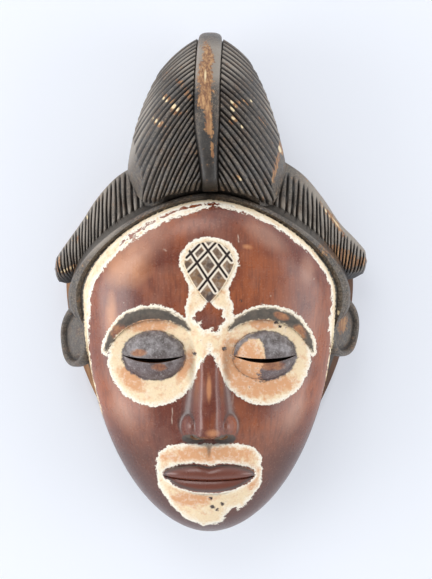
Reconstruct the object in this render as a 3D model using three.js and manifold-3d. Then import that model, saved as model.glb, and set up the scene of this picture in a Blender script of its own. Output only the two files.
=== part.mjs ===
// A carved wooden dance mask: an oval face with closed, slit eyes, a tall ridged crest of combed
// hair, two combed side lobes and small round ears, all cut from one block and hollowed behind.
// It lies on its back. X runs across the face, Y from the chin to the crest, Z forward out of the
// face, and the flat rear rim is in the plane Z = 0. All sizes are in millimetres.
import * as THREE from "three";
import { mergeVertices } from "three/addons/utils/BufferGeometryUtils.js";
import Module from "manifold-3d";

const wasm = await Module();
wasm.setup();

// Overall sizes
const HEIGHT = 330; // chin to the top of the crest
const FACE_LENGTH = 217; // chin to hairline
const FACE_WIDTH = 164; // across the face at its widest
const RIM_WIDTH = 197; // across the rear rim
const WALL = 12; // wood left between the hollow and the outside

// Places along the height
const CHIN_Y = -HEIGHT / 2;
const CREST_TOP = HEIGHT / 2;
const HAIR_Y = CHIN_Y + FACE_LENGTH;
const at = (share) => HAIR_Y - share * FACE_LENGTH; // down the face, from hairline to chin

// Face: its outline, the height of that outline over the rim plane, and the swell of the dome
const TEMPLE_Y = at(0.276); // where the face is widest
const BROW_ROUND = 1.65; // power of the outline's curve above the temples
const JAW_ROUND = 1.95; // the same for the jaw
const EDGE = [
  [0, 80],
  [0.28, 61],
  [0.7, 52],
  [1, 42],
]; // share down the face, height of its edge
const SWELL = 39; // how far the dome of the face stands in front of its edge

// Features of the face
const EYE = { x: 0.215 * FACE_WIDTH, y: at(0.455) };
const SOCKET = { radius: 29, deep: 5.5 };
const LID = { across: 21.5, along: 16.5, proud: 8 };
const SLIT = { across: 39, high: 2.6, sag: 3 };
const BROW = { radius: 31.5, thick: 6.5, proud: 1.4, deep: 9, below: 5, outer: 12, inner: 138 };
const NOSE = { root: at(0.38), base: at(0.69), half: 6, flare: 10, proud: 15, wing: 10 };
const MOUTH = { y: at(0.81), across: 58, lip: 8.6, proud: 5.5, mound: 4 };
const CHIN = { y: at(0.935), across: 25, along: 16, proud: 2.6 };

// Band along the hairline, and the rim that stands out at the back
const BAND = { top: 5, temple: 10, drop: 6 };
const RIM = { thick: 11, step: 7, below: 16, above: 30 };

// Crest of hair over the forehead, and the keel down its middle
const CREST = { half: 55, widest: 72, waist: 10, foot: 36, side: 34, lean: -2, back: 5 };
const CREST_RIDGE = [
  [36, 88],
  [62, 97],
  [90, 98],
  [120, 90],
  [145, 73],
  [160, 53],
  [165, 36],
]; // height along the crest, how far its middle stands forward
const FRONT = { foot: 64, slope: 3.2, soft: 6 }; // how the crest climbs behind the hairline band
const KEEL = { top: 7.7, foot: 4.7, start: 5.5, proud: 3.4, wander: -2 };

// Combed hair: the depth of its cuts, how many there are, and the flat share of each lock
const COMB = {
  deep: 1.9,
  pocket: 2.6,
  edge: [0.86, 0.95], // where the locks give way to a smooth strip at the sides
  bow: [0.13, 0.1], // how far the first lock bows outwards, left and right
  corners: [
    [[60, 93], [60, 77], [43, 51]],
    [[60, 95], [60, 79], [44, 50]],
  ], // where the locks end at the sides, left and right, down to the crest's lower corner
  feet: [24, 6], // where they then end along the hairline, towards the keel
  gap: 6.2, // how far beyond the hairline those ends lie
};
const CREST_LOCKS = { cuts: 20, land: 0.5 };
const LOBE_LOCKS = { cuts: 24, land: 0 };

// Side lobes, left and right: upper and lower edge from the crest to the tip
const LOBE = {
  thick: 15,
  inner: 56,
  tip: 38,
  swell: 3,
  strip: [0.04, 0.2], // share of the width that is a smooth edge strip
  edges: [
    [
      [[52, 76], [64, 68], [76, 55], [86, 40], [96, 26], [105.7, 12]],
      [[40, 44], [58, 33], [73, 22], [82, 14], [92, 8], [102, 4]],
    ],
    [
      [[52, 79], [65, 70], [77, 56], [88, 39], [98, 30], [107, 18]],
      [[40, 44], [57, 33], [71, 21], [80, 11], [91, 7.5], [104, 9]],
    ],
  ],
};

// Ears
const EAR = { radius: 19.5, thick: 14, x: 88.5, y: -33, z: 45, turn: 58, stagger: 3 };

// Cut pattern on the forehead
const SCAR = { y: at(0.19), half: 15.5, up: 14, down: 24, proud: 1.2, cut: 1.2, wide: 1.5 };

const { clamp, lerp, smoothstep, degToRad } = THREE.MathUtils;
const point = (x, y, z) => new THREE.Vector3(x, y, z);
const shares = (count) => Array.from({ length: count + 1 }, (_, i) => i / count);
const eased = (count) => shares(count).map((s) => (1 - Math.cos(Math.PI * s)) / 2);
const round = (t, power) => (1 - clamp(Math.abs(t), 0, 1) ** power) ** (1 / power);

// Smooth curve through [place, value] stations, level beyond both ends.
function along(stations, place) {
  const last = stations.length - 1;
  if (place <= stations[0][0]) return stations[0][1];
  if (place >= stations[last][0]) return stations[last][1];
  const k = stations.findIndex(([x]) => x >= place) - 1;
  const slope = (i) => {
    const [x0, v0] = stations[Math.max(i - 1, 0)];
    const [x1, v1] = stations[Math.min(i + 1, last)];
    return (v1 - v0) / (x1 - x0);
  };
  const run = stations[k + 1][0] - stations[k][0];
  const t = (place - stations[k][0]) / run;
  const bend = t * t * (3 - 2 * t);
  const lead = run * (t ** 3 - 2 * t ** 2 + t);
  const tail = run * (t ** 3 - t ** 2);
  return lerp(stations[k][1], stations[k + 1][1], bend) + lead * slope(k) + tail * slope(k + 1);
}

// Closed surface through rows of points. Each row is a closed ring, and the first and last rows
// fold onto a line or a point, so the surface needs no caps.
function skin(rows) {
  const ring = rows[0].length;
  const index = [];
  for (let j = 0; j + 1 < rows.length; j += 1) {
    for (let i = 0; i < ring; i += 1) {
      const a = j * ring + i;
      const b = j * ring + ((i + 1) % ring);
      index.push(a, b, b + ring, a, b + ring, a + ring);
    }
  }
  const geometry = new THREE.BufferGeometry();
  const places = rows.flat().flatMap((p) => p.toArray());
  geometry.setAttribute("position", new THREE.Float32BufferAttribute(places, 3));
  geometry.setIndex(index);
  return geometry;
}

// The solid that a closed geometry bounds, whichever way its faces are wound.
function solid(geometry) {
  const bare = geometry.clone();
  bare.deleteAttribute("normal");
  bare.deleteAttribute("uv");
  const merged = mergeVertices(bare, 1e-3);
  const corners = [...merged.index.array];
  const spot = (i) => new THREE.Vector3().fromBufferAttribute(merged.attributes.position, i);
  const faces = [];
  let volume = 0;
  for (let i = 0; i < corners.length; i += 3) {
    const [a, b, c] = corners.slice(i, i + 3);
    if (a !== b && b !== c && c !== a) faces.push([a, b, c]);
    volume += spot(a).dot(spot(b).cross(spot(c)));
  }
  const wound = volume < 0 ? faces.map(([a, b, c]) => [a, c, b]) : faces;
  const mesh = new wasm.Mesh({
    numProp: 3,
    vertProperties: new Float32Array(merged.attributes.position.array),
    triVerts: new Uint32Array(wound.flat()),
  });
  return new wasm.Manifold(mesh);
}

const joined = (solids) => wasm.Manifold.union(solids);

// A point on the surface z = shape(x, y), with the direction square to the surface there.
function spotOn(shape, x, y) {
  const h = 0.5;
  const slopeX = (shape(x + h, y) - shape(x - h, y)) / (2 * h);
  const slopeY = (shape(x, y + h) - shape(x, y - h)) / (2 * h);
  return { on: point(x, y, shape(x, y)), out: point(-slopeX, -slopeY, 1).normalize() };
}

const raised = (spot, off) => spot.on.clone().addScaledVector(spot.out, off);

// A slab that lies on a surface: place(s, t) gives a spot on it, and top and base the heights of
// the slab's two faces over the surface. Each end closes on the middle of its ring.
function slab(place, rows, columns, top, base) {
  const under = [columns[columns.length - 1], columns[0]];
  const ring = (s) => [
    ...columns.map((t) => raised(place(s, t), top(s, t))),
    ...under.map((t) => raised(place(s, t), base(s, t))),
  ];
  const end = (points) => {
    const middle = points.reduce((sum, p) => sum.add(p), point(0, 0, 0));
    return points.map(() => middle.clone().divideScalar(points.length));
  };
  const rings = rows.map(ring);
  return solid(skin([end(rings[0]), ...rings, end(rings[rings.length - 1])]));
}

// An ellipsoid whose third axis stands square to the surface at a spot.
function bead(spot, across, high, thick, off, detail = 20) {
  const turn = new THREE.Quaternion().setFromUnitVectors(point(0, 0, 1), spot.out);
  const ball = new THREE.SphereGeometry(1, detail, Math.round(detail * 0.6));
  ball.rotateX(Math.PI / 2).scale(across, high, thick).applyQuaternion(turn);
  return solid(ball.translate(...raised(spot, off).toArray()));
}

// A profile of [radius, height] points turned about the direction square to the surface.
function turned(spot, profile, detail, squash = 1) {
  const turn = new THREE.Quaternion().setFromUnitVectors(point(0, 0, 1), spot.out);
  const lathe = new THREE.LatheGeometry(profile.map(([r, h]) => new THREE.Vector2(r, h)), detail);
  lathe.rotateX(Math.PI / 2).scale(1, squash, 1).applyQuaternion(turn);
  return solid(lathe.translate(...spot.on.toArray()));
}

// Half the face's width at height y.
function faceHalf(y) {
  return y > TEMPLE_Y
    ? (FACE_WIDTH / 2) * round((y - TEMPLE_Y) / (HAIR_Y - TEMPLE_Y), BROW_ROUND)
    : (FACE_WIDTH / 2) * round((y - TEMPLE_Y) / (TEMPLE_Y - CHIN_Y), JAW_ROUND);
}

const edgeHeight = (y) => along(EDGE, (HAIR_Y - y) / FACE_LENGTH);

// How far a point lies beyond the arch of the hairline.
function aboveHairline(x, y) {
  const across = clamp(Math.abs(x) / (FACE_WIDTH / 2), 0, 0.93);
  const rise = round(across, BROW_ROUND);
  const tall = HAIR_Y - TEMPLE_Y;
  const slope = (tall / (FACE_WIDTH / 2)) * (across / rise) ** (BROW_ROUND - 1);
  return (y - TEMPLE_Y - tall * rise) / Math.hypot(1, slope);
}

// The smooth dome of the face, before its features are cut.
function dome(x, y) {
  const half = faceHalf(y);
  const down = (2 * (HAIR_Y - y)) / FACE_LENGTH - 1;
  const rise = SWELL * (1 - clamp(Math.abs(down), 0, 1) ** 3.6) ** 0.5;
  const across = half > 0 ? clamp(Math.abs(x) / half, 0, 1) : 1;
  return edgeHeight(y) + rise * (1 - across ** 2.3) ** 0.58;
}

// Half the rear rim's width at height y.
const RIM_FOOT = CHIN_Y + RIM.below;
const RIM_HEAD = HAIR_Y + RIM.above;
const RIM_WIDEST = TEMPLE_Y + 6;
function rimHalf(y) {
  return y > RIM_WIDEST
    ? (RIM_WIDTH / 2) * round((y - RIM_WIDEST) / (RIM_HEAD - RIM_WIDEST), 2.2)
    : (RIM_WIDTH / 2) * round((y - RIM_WIDEST) / (RIM_WIDEST - RIM_FOOT), 1.7);
}

// One row across the head at share v of its height: rear rim, side wall, hairline band and face.
// The hollow is the same form drawn in by `inset`.
function headRow(v, inset, columns) {
  const y = lerp(CHIN_Y, HAIR_Y, v);
  const half = faceHalf(y);
  const edge = edgeHeight(y);
  const rimY = lerp(RIM_FOOT, RIM_HEAD, v);
  const rim = rimHalf(rimY);
  const grown = lerp(BAND.top, BAND.temple, smoothstep(-y, -HAIR_Y, -TEMPLE_Y));
  const wide = grown * smoothstep(y, at(0.4), at(0.3));
  const outward = point(half, (y - TEMPLE_Y) * 0.6, 0).normalize();
  const band = (share, z) => [half + outward.x * share * wide, y + outward.y * share * wide, z];
  const waist = 1 - (2 * RIM.step) / RIM_WIDTH;
  const wall = [
    [rim, rimY, inset > 0 ? -inset - 1 : 0],
    [rim, rimY, RIM.thick],
    [rim * waist, lerp(TEMPLE_Y, rimY, waist), RIM.thick + 5],
    band(1.05, edge - BAND.drop - 3),
    band(0.85, edge - 1),
  ];
  const front = columns.map((s) => Math.sin((s - 0.5) * Math.PI) * half);
  const ring = [
    ...wall.map(([x, wy, z]) => point(-x, wy, z)),
    ...front.map((x) => point(x, y, dome(x, y))),
    ...wall.map(([x, wy, z]) => point(x, wy, z)).reverse(),
  ];
  const middle = point(0, TEMPLE_Y, 0);
  const shrink = point(1 - (2 * inset) / FACE_WIDTH, 1 - (2.4 * inset) / FACE_LENGTH, 1);
  return ring.map((p) => p.sub(middle).multiply(shrink).add(middle).setZ(p.z - inset));
}

function headForm(inset, rows, columns) {
  return solid(skin(eased(rows).map((v) => headRow(v, inset, shares(columns)))));
}

const bothSides = (make) => [-1, 1].map((side) => make(side));

// Sockets, eyelids, slits and brows.
const eyeSpot = (side) => spotOn(dome, side * EYE.x, EYE.y);
const socket = (side) => {
  const cup = (share) => [share * SOCKET.radius, SOCKET.deep * (share * share - 1)];
  return turned(eyeSpot(side), [...[0, 0.5, 0.85, 1.3].map(cup), [0, SOCKET.deep * 3]], 22);
};
const lid = (side) => {
  const angles = shares(5).map((s) => (s * Math.PI) / 2);
  const floor = -SOCKET.deep - 2;
  const cap = (a) => [LID.across * Math.cos(a), floor + (LID.proud + 2) * Math.sin(a)];
  return turned(eyeSpot(side), [[0, floor], ...angles.map(cap)], 20, LID.along / LID.across);
};

function slit(side) {
  const place = (s, t) => {
    const u = 2 * s - 1;
    const x = side * EYE.x + (u * SLIT.across) / 2;
    const y = EYE.y - SLIT.sag * (1 - u * u) + (t - 0.5) * SLIT.high * (1.15 - u * u);
    return { on: point(x, y, 0), out: point(0, 0, 1) };
  };
  return slab(place, shares(6), [0, 1], () => HEIGHT / 2, () => edgeHeight(EYE.y) - WALL * 2);
}

function brow(side) {
  const place = (s, t) => {
    const angle = degToRad(lerp(BROW.outer, BROW.inner, s));
    const reach = BROW.radius + (t - 0.5) * BROW.thick * Math.sin(Math.PI * s) ** 0.7 + (t - 0.5);
    const y = EYE.y - BROW.below + reach * Math.sin(angle);
    return spotOn(dome, side * (EYE.x + reach * Math.cos(angle)), y);
  };
  const top = (s, t) => BROW.proud * (1 - (2 * t - 1) ** 2 * 0.5);
  return slab(place, shares(14), shares(2), top, () => -BROW.deep);
}

// Nose with its wings and nostrils.
function noseForm() {
  const place = (s, t) => {
    const y = lerp(NOSE.root + 14, NOSE.base, s);
    const half = lerp(NOSE.half, NOSE.flare, smoothstep(s, 0.3, 1)) + 5 * (1 - s) ** 3;
    return spotOn(dome, (2 * t - 1) * half, y);
  };
  const ridge = (s, t) => {
    const rise = NOSE.proud * lerp(0.06, 1, smoothstep(s, -0.15, 0.95)) * (s < 0.93 ? 1 : 0.86);
    return rise * (1 - Math.abs(2 * t - 1) ** 2.6) ** 0.7 - 1;
  };
  const body = slab(place, shares(9), eased(6), ridge, () => -8);
  const wing = (side) => bead(spotOn(dome, side * NOSE.wing, NOSE.base + 7.5), 6.6, 8.5, 7.5, 1.5, 10);
  return joined([body, ...bothSides(wing)]);
}

const nostril = (side) => bead(spotOn(dome, side * NOSE.wing * 0.78, NOSE.base - 1), 3.4, 5.5, 3.2, 4.4, 8);

// Mouth: a low mound with an upper and a lower lip on it.
function lip(up) {
  const place = (s, t) => {
    const u = 2 * s - 1;
    const bow = up > 0 ? 1.3 * Math.exp(-((u / 0.16) ** 2)) * t : 0;
    const tall = MOUTH.lip * (1 - Math.abs(u) ** 2.2) ** 0.7 + 0.6;
    const y = MOUTH.y + 2.2 * u * u + up * (0.25 + tall * t - bow);
    return spotOn(dome, (u * MOUTH.across) / 2, y);
  };
  const top = (s, t) => {
    const ends = (1 - Math.abs(2 * s - 1) ** 3) ** 0.6;
    return MOUTH.mound * 0.6 + MOUTH.proud * ends * Math.sin(Math.PI * lerp(0.2, 1, t)) ** 0.6 - 0.5;
  };
  return slab(place, eased(12), shares(3), top, () => -3);
}

// Keyhole-shaped patch on the forehead, with two sets of slanting cuts across it.
const scarHalf = (y) => {
  const up = (y - SCAR.y) / SCAR.up;
  const down = (SCAR.y - y) / SCAR.down;
  return SCAR.half * (y > SCAR.y ? round(up, 2.1) : (1 - clamp(down, 0, 1)) ** 0.85 * (1 + 0.25 * down));
};

function scarPatch() {
  const place = (s, t) => {
    const y = lerp(SCAR.y - SCAR.down, SCAR.y + SCAR.up, s);
    return spotOn(dome, (2 * t - 1) * (scarHalf(y) + 0.4), y);
  };
  return slab(place, eased(7), shares(3), () => SCAR.proud, () => -2);
}

function scarCut([x0, y0], [x1, y1]) {
  const across = point(y0 - y1, x1 - x0, 0).setLength(SCAR.wide / 2);
  const place = (s, t) => {
    const [x, y] = [lerp(x0, x1, s), lerp(y0, y1, s)];
    return spotOn(dome, x + across.x * (2 * t - 1), y + across.y * (2 * t - 1));
  };
  return slab(place, shares(2), [0, 0.5, 1], (s, t) => SCAR.proud - (t === 0.5 ? SCAR.cut : 0), () => 4);
}

// Ends of the slanting cuts, from the middle of the patch.
const SCAR_CUTS = [
  [[-14, 11], [4, -17]],
  [[-4, 13], [11, -8]],
  [[6, 12], [14, 2]],
  [[13, 8], [-7, -17]],
  [[4, 13], [-13, -5]],
  [[-6, 12], [-14, 4]],
];
const scarCuts = () => SCAR_CUTS.map(([a, b]) => scarCut([a[0], a[1] + SCAR.y], [b[0], b[1] + SCAR.y]));

// Crest: half its width, the line of its middle, and its smooth front.
function crestHalf(y) {
  const up = clamp((y - CREST.widest) / (CREST_TOP - CREST.widest), 0, 1);
  const down = clamp((CREST.widest - y) / (CREST.widest - CREST.foot), 0, 1);
  return CREST.half * (1 - up ** 1.35) ** 0.472 - CREST.waist * down ** 1.3;
}
function crestMiddle(y) {
  const up = clamp((y - CREST.foot) / (CREST_TOP - CREST.foot), 0, 1);
  return CREST.lean * Math.sin(Math.PI * up);
}
function crest(x, y) {
  const half = crestHalf(y);
  const u = half > 0 ? clamp(Math.abs(x - crestMiddle(y)) / half, 0, 1) : 1;
  const side = Math.min(CREST.side, along(CREST_RIDGE, y));
  const back = side + (along(CREST_RIDGE, y) - side) * (1 - u ** 2.2) ** 0.6;
  const front = Math.max(FRONT.foot + FRONT.slope * aboveHairline(x, y), CREST.side);
  return (back + front - Math.hypot(back - front, FRONT.soft)) / 2;
}

// The crest's smooth core: its front lies a little under the combed hair.
function crestCore() {
  const columns = shares(12).map((s) => Math.sin((s - 0.5) * Math.PI));
  const row = (v) => {
    const y = lerp(CREST.foot, CREST_TOP, v);
    const [middle, half] = [crestMiddle(y), crestHalf(y)];
    const side = Math.min(CREST.side, along(CREST_RIDGE, y)) - COMB.pocket;
    const back = lerp(CREST.back, side, v ** 6);
    const inner = Math.max(half - COMB.pocket, 0);
    const front = columns.map((u) => raised(spotOn(crest, middle + u * half * 0.98, y), -COMB.pocket));
    const rear = [0.96, 0.6, 0, -0.6, -0.96].map((u) => {
      return point(middle + u * inner, y, back + (side - back) * 0.35 * u ** 8);
    });
    return [...front, ...rear];
  };
  const rows = shares(16).map((s) => row(0.985 * (1 - (1 - s) ** 1.7)));
  const foot = rows[0].map(() => point(0, CREST.foot - 1, CREST.side));
  const head = rows[0].map(() => point(0, CREST_TOP - 4, CREST.side - 6));
  return solid(skin([foot, ...rows, head]));
}

// Keel: half its width and the line of its middle.
const keelHalf = (y) => lerp(KEEL.foot, KEEL.top, smoothstep(y, HAIR_Y + 8, HAIR_Y + 60));
const keelMiddle = (y) => 0.6 + KEEL.wander * Math.sin(Math.PI * clamp((y - HAIR_Y - 8) / 100, 0, 1));

function keel() {
  const place = (s, t) => {
    const y = lerp(HAIR_Y + KEEL.start, CREST_TOP - 2.2, s);
    return spotOn(crest, keelMiddle(y) + (2 * t - 1) * keelHalf(y), y);
  };
  const top = (s, t) => KEEL.proud * (1 - Math.abs(2 * t - 1) ** 3) ** 0.5 - (s > 0.97 ? 1 : 0);
  return slab(place, eased(20), eased(6), top, () => -5);
}

// Rows of a combed surface: each lock has a land, as wide as its share, and a cut beside it.
const combRows = ({ cuts, land }) => {
  const lock = (k) => (land > 0 ? [k, k + land, k + (1 + land) / 2] : [k, k + 0.55]);
  return [...shares(cuts - 1).flatMap((_, k) => lock(k).map((place) => place / cuts)), 1];
};
const inCut = (s, { cuts, land }) => {
  const past = (s * cuts) % 1;
  return past > Math.max(land, 0.4) + 0.02 && past < 0.98 ? 1 : 0;
};

// Combed hair on one side of the crest. Its locks leave the keel and run out and down.
function crestComb(side) {
  const keelAt = (s) => {
    const y = lerp(CREST_TOP - 4, HAIR_Y + 12, s);
    return point(keelMiddle(y) + side * (keelHalf(y) + 1.1), y, 0);
  };
  const feet = COMB.feet.map((x) => {
    const tilt = aboveHairline(x, 1) - aboveHairline(x, 0);
    return [x, (COMB.gap - aboveHairline(x, 0)) / tilt];
  });
  const border = [...COMB.corners[side < 0 ? 0 : 1], ...feet];
  const outer = new THREE.CatmullRomCurve3(border.map(([x, y]) => point(side * x, y, 0)));
  const bow = COMB.bow[side < 0 ? 0 : 1];
  const place = (s, t) => {
    const [a, b] = [keelAt(s), outer.getPoint(s)];
    const lean = point(b.x - a.x, b.y - a.y, 0);
    const out = point(side * Math.abs(lean.y), Math.abs(lean.x), 0).multiplyScalar(bow * (1 - s));
    const p = a.clone().addScaledVector(lean, t).addScaledVector(out, 4 * t * (1 - t));
    const most = crestHalf(p.y) * 0.975;
    const middle = crestMiddle(p.y);
    return spotOn(crest, middle + clamp(p.x - middle, -most, most), p.y);
  };
  const combed = (s, t) => (t > COMB.edge[0] && s < 0.6 ? 0 : 1);
  const foot = (s, t) => (t > 0.99 && s > 0.55 ? 1.5 : 0);
  const top = (s, t) => -COMB.deep * inCut(s, CREST_LOCKS) * combed(s, t) - foot(s, t);
  const columns = [0, 0.3, 0.6, ...COMB.edge, 1];
  return slab(place, combRows(CREST_LOCKS), columns, top, () => -COMB.pocket - 2.4);
}

// A side lobe: a flap whose locks hang side by side from its upper edge.
function lobe(side) {
  const edges = LOBE.edges[side < 0 ? 0 : 1];
  const [upper, lower] = edges.map((line) => {
    return new THREE.CatmullRomCurve3(line.map(([x, y]) => point(side * x, y, 0)));
  });
  const out = point(side * 0.3, 0.42, 1).normalize();
  const place = (s, t) => {
    const p = upper.getPoint(s).lerp(lower.getPoint(s), t);
    const depth = lerp(LOBE.inner, LOBE.tip, s) - 12 * (1 - t) ** 2;
    return { on: p.setZ(depth + LOBE.swell * Math.sin(Math.PI * t)), out };
  };
  const strip = LOBE.strip[side < 0 ? 0 : 1];
  const ends = (s) => -6 * smoothstep(s, 0.9, 1) ** 2;
  const top = (s, t) => ends(s) - (t > strip ? COMB.deep * inCut(s, LOBE_LOCKS) : 0);
  const columns = [0, strip, strip + 0.02, 0.55, 1];
  return slab(place, combRows(LOBE_LOCKS), columns, top, (s, t) => -LOBE.thick - ends(s) + 3 * (1 - t));
}

// A round ear: a disc with a thin raised rim and a groove inside it.
function ear(side) {
  const r = EAR.radius;
  const profile = [
    [0, -EAR.thick],
    [r * 0.7, -EAR.thick],
    [r, -EAR.thick * 0.3],
    [r, 0.8],
    [r * 0.95, 2.4],
    [r * 0.86, 2.4],
    [r * 0.79, -0.7],
    [r * 0.72, -0.7],
    [r * 0.6, 0.4],
    [0, 1.2],
  ];
  const disc = new THREE.LatheGeometry(profile.map(([x, y]) => new THREE.Vector2(x, y)), 20);
  disc.rotateX(Math.PI / 2).rotateY(side * degToRad(EAR.turn));
  return solid(disc.translate(side * EAR.x, EAR.y + side * EAR.stagger, EAR.z));
}

// The whole mask, joined into one solid. Slivers and pockets left between joined faces are
// dropped by keeping the one large body.
function carve() {
  const chin = bead(spotOn(dome, 0, CHIN.y), CHIN.across, CHIN.along, 8, CHIN.proud - 8, 10);
  const features = [...bothSides(lid), ...bothSides(brow), noseForm(), lip(1), lip(-1), chin, scarPatch()];
  const pierced = [...bothSides(slit), ...bothSides(nostril), ...scarCuts()];
  const hair = [crestCore(), keel(), ...bothSides(crestComb), ...bothSides(lobe), ...bothSides(ear)];
  const face = joined([headForm(0, 24, 16).subtract(joined(bothSides(socket))), ...features]);
  const whole = joined([face.subtract(joined(pierced)), ...hair]).subtract(headForm(WALL, 14, 10));
  const pieces = whole.simplify(0.2).decompose();
  return pieces.sort((a, b) => b.volume() - a.volume())[0];
}

const { vertProperties, triVerts } = carve().getMesh();
const geometry = new THREE.BufferGeometry();
geometry.setAttribute("position", new THREE.BufferAttribute(vertProperties, 3));
geometry.setIndex(new THREE.BufferAttribute(triVerts, 1));
geometry.computeVertexNormals();

const wood = new THREE.MeshStandardMaterial({ color: 0x7a4534, roughness: 0.55, metalness: 0 });
const mask = new THREE.Mesh(geometry, wood);
mask.name = "mask";

const part = new THREE.Group();
part.name = "punu_mask";
part.add(mask);
export default part;
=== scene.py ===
# %% [markdown]
# # A carved dance mask
# The real thing is one block of light wood. Its maker shaped the face, the crest of hair, the two
# side lobes and the ears with adze and knife, hollowed it behind, blackened the hair with charcoal,
# rubbed the face with red earth and oil, and painted white kaolin clay round the eyes, the mouth,
# the hairline and the cut pattern on the forehead. The clay has flaked and the dark paint has worn.
# The mask lies on its back: X runs across the face, Y from the chin to the crest, and Z forward out
# of the face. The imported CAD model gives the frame, and the sizes here are in millimetres.

import bpy
import numpy as np
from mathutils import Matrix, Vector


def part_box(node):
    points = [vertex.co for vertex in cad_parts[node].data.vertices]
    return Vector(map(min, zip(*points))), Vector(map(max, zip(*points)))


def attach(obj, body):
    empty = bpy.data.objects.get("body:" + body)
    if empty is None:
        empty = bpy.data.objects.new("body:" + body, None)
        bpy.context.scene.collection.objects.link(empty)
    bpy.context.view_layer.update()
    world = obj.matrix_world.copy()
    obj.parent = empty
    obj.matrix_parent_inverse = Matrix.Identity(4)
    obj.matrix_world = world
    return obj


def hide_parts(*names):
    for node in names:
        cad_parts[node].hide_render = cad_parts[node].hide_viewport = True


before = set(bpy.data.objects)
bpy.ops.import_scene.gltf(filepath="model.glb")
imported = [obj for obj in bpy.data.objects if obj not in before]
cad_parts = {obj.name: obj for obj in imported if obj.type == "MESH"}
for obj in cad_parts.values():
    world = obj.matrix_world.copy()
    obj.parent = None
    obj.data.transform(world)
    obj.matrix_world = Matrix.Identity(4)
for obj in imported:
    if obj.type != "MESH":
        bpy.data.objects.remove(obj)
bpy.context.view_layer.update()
MM = 0.001  # one millimetre in Blender's metres
low, high = (np.array(corner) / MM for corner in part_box("mask"))
print("CAD box in mm:", low.round(1), high.round(1))

# %% [markdown]
# ## Curves
# A carver's forms swell and fade softly. Four small curves describe nearly all of them: a soft step
# from one level to another, a low hill, a rounded outline between a circle and a box, and a smooth
# line through a few stations.

# %% Curves that the forms share
def step(t, start, end):
    t = np.clip((t - start) / (end - start), 0, 1)
    return t * t * (3 - 2 * t)


def hill(t):
    return (1 - np.clip(t, 0, 1) ** 2) ** 2


def rounded(t, power):
    return (1 - np.clip(np.abs(t), 0, 1) ** power) ** (1 / power)


def through(stations, place):
    xs, ys = np.array(stations, float).T
    slopes = np.empty_like(ys)
    slopes[1:-1] = (ys[2:] - ys[:-2]) / (xs[2:] - xs[:-2])
    slopes[[0, -1]] = (ys[[1, -1]] - ys[[0, -2]]) / (xs[[1, -1]] - xs[[0, -2]])
    place = np.clip(place, xs[0], xs[-1])
    k = np.clip(np.searchsorted(xs, place) - 1, 0, len(xs) - 2)
    run = xs[k + 1] - xs[k]
    t = (place - xs[k]) / run
    bend = t * t * (3 - 2 * t)
    lead, tail = t**3 - 2 * t**2 + t, t**3 - t**2
    return ys[k] + (ys[k + 1] - ys[k]) * bend + run * (lead * slopes[k] + tail * slopes[k + 1])


# %% [markdown]
# ## Driving sizes
# The overall height comes from the frame. The face takes its usual two thirds of it, and each
# feature has its place as a share of the way down from the hairline to the chin.

# %% Sizes in millimetres
CHIN_Y, CREST_TOP = low[1], -low[1]
FACE_LENGTH, FACE_WIDTH = 217, 164
HAIR_Y = CHIN_Y + FACE_LENGTH
RIM_WIDTH = 197
WALL = 12


def at(share):
    return HAIR_Y - share * FACE_LENGTH


TEMPLE_Y = at(0.276)
BROW_ROUND, JAW_ROUND = 1.65, 1.95
EDGE = [[0, 80], [0.28, 61], [0.7, 52], [1, 42]]
SWELL = 39
EYE_X, EYE_Y = 0.215 * FACE_WIDTH, at(0.455)
SOCKET_RADIUS, SOCKET_DEEP = 29, 5.5
LID_ACROSS, LID_ALONG, LID_PROUD = 21.5, 16.5, 8
BROW_RADIUS, BROW_THICK, BROW_PROUD, BROW_BELOW = 31.5, 6.5, 1.4, 5
BROW_OUTER, BROW_INNER = 12, 138  # degrees round the brow's circle
NOSE_ROOT, NOSE_BASE, NOSE_PROUD, WING_X = at(0.38), at(0.69), 14, 10
MOUTH_Y, MOUTH_HALF, LIP_TALL, LIP_PROUD = at(0.81), 29, 8.6, 5.5
CHIN_BOSS_Y = at(0.935)
SCAR_Y, SCAR_HALF, SCAR_UP, SCAR_DOWN, SCAR_PROUD = at(0.19), 15.5, 14, 24, 1.2
BOTH = (-1, 1)  # left and right
print("face:", FACE_WIDTH, "by", FACE_LENGTH, "mm, eyes", round(2 * EYE_X, 1), "mm apart")

# %% [markdown]
# ## The smooth face
# The face is a dome over a rounded outline. Its edge lies lower towards the chin than at the
# hairline, so the forehead leans forward as on the real masks.

# %% Outline and dome of the face
def face_half(y):
    above = rounded((y - TEMPLE_Y) / (HAIR_Y - TEMPLE_Y), BROW_ROUND)
    below = rounded((y - TEMPLE_Y) / (TEMPLE_Y - CHIN_Y), JAW_ROUND)
    return FACE_WIDTH / 2 * np.where(y > TEMPLE_Y, above, below)


def edge_height(y):
    return through(EDGE, (HAIR_Y - y) / FACE_LENGTH)


def above_hairline(x, y):
    """How far in mm a point lies beyond the arch of the hairline."""
    across = np.clip(np.abs(x) / (FACE_WIDTH / 2), 0, 0.93)
    rise = (1 - across**BROW_ROUND) ** (1 / BROW_ROUND)
    tall = HAIR_Y - TEMPLE_Y
    slope = tall / (FACE_WIDTH / 2) * (across / rise) ** (BROW_ROUND - 1)
    return (y - TEMPLE_Y - tall * rise) / np.hypot(1, slope)


def dome(x, y):
    half = face_half(y)
    down = np.clip(np.abs(2 * (HAIR_Y - y) / FACE_LENGTH - 1), 0, 1)
    rise = SWELL * (1 - down**3.6) ** 0.5
    across = np.where(half > 0, np.clip(np.abs(x) / np.maximum(half, 1e-6), 0, 1), 1)
    return edge_height(y) + rise * (1 - across**2.3) ** 0.58


print("dome between the eyes:", round(float(dome(np.array(0.0), EYE_Y)), 1), "mm high")

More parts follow.
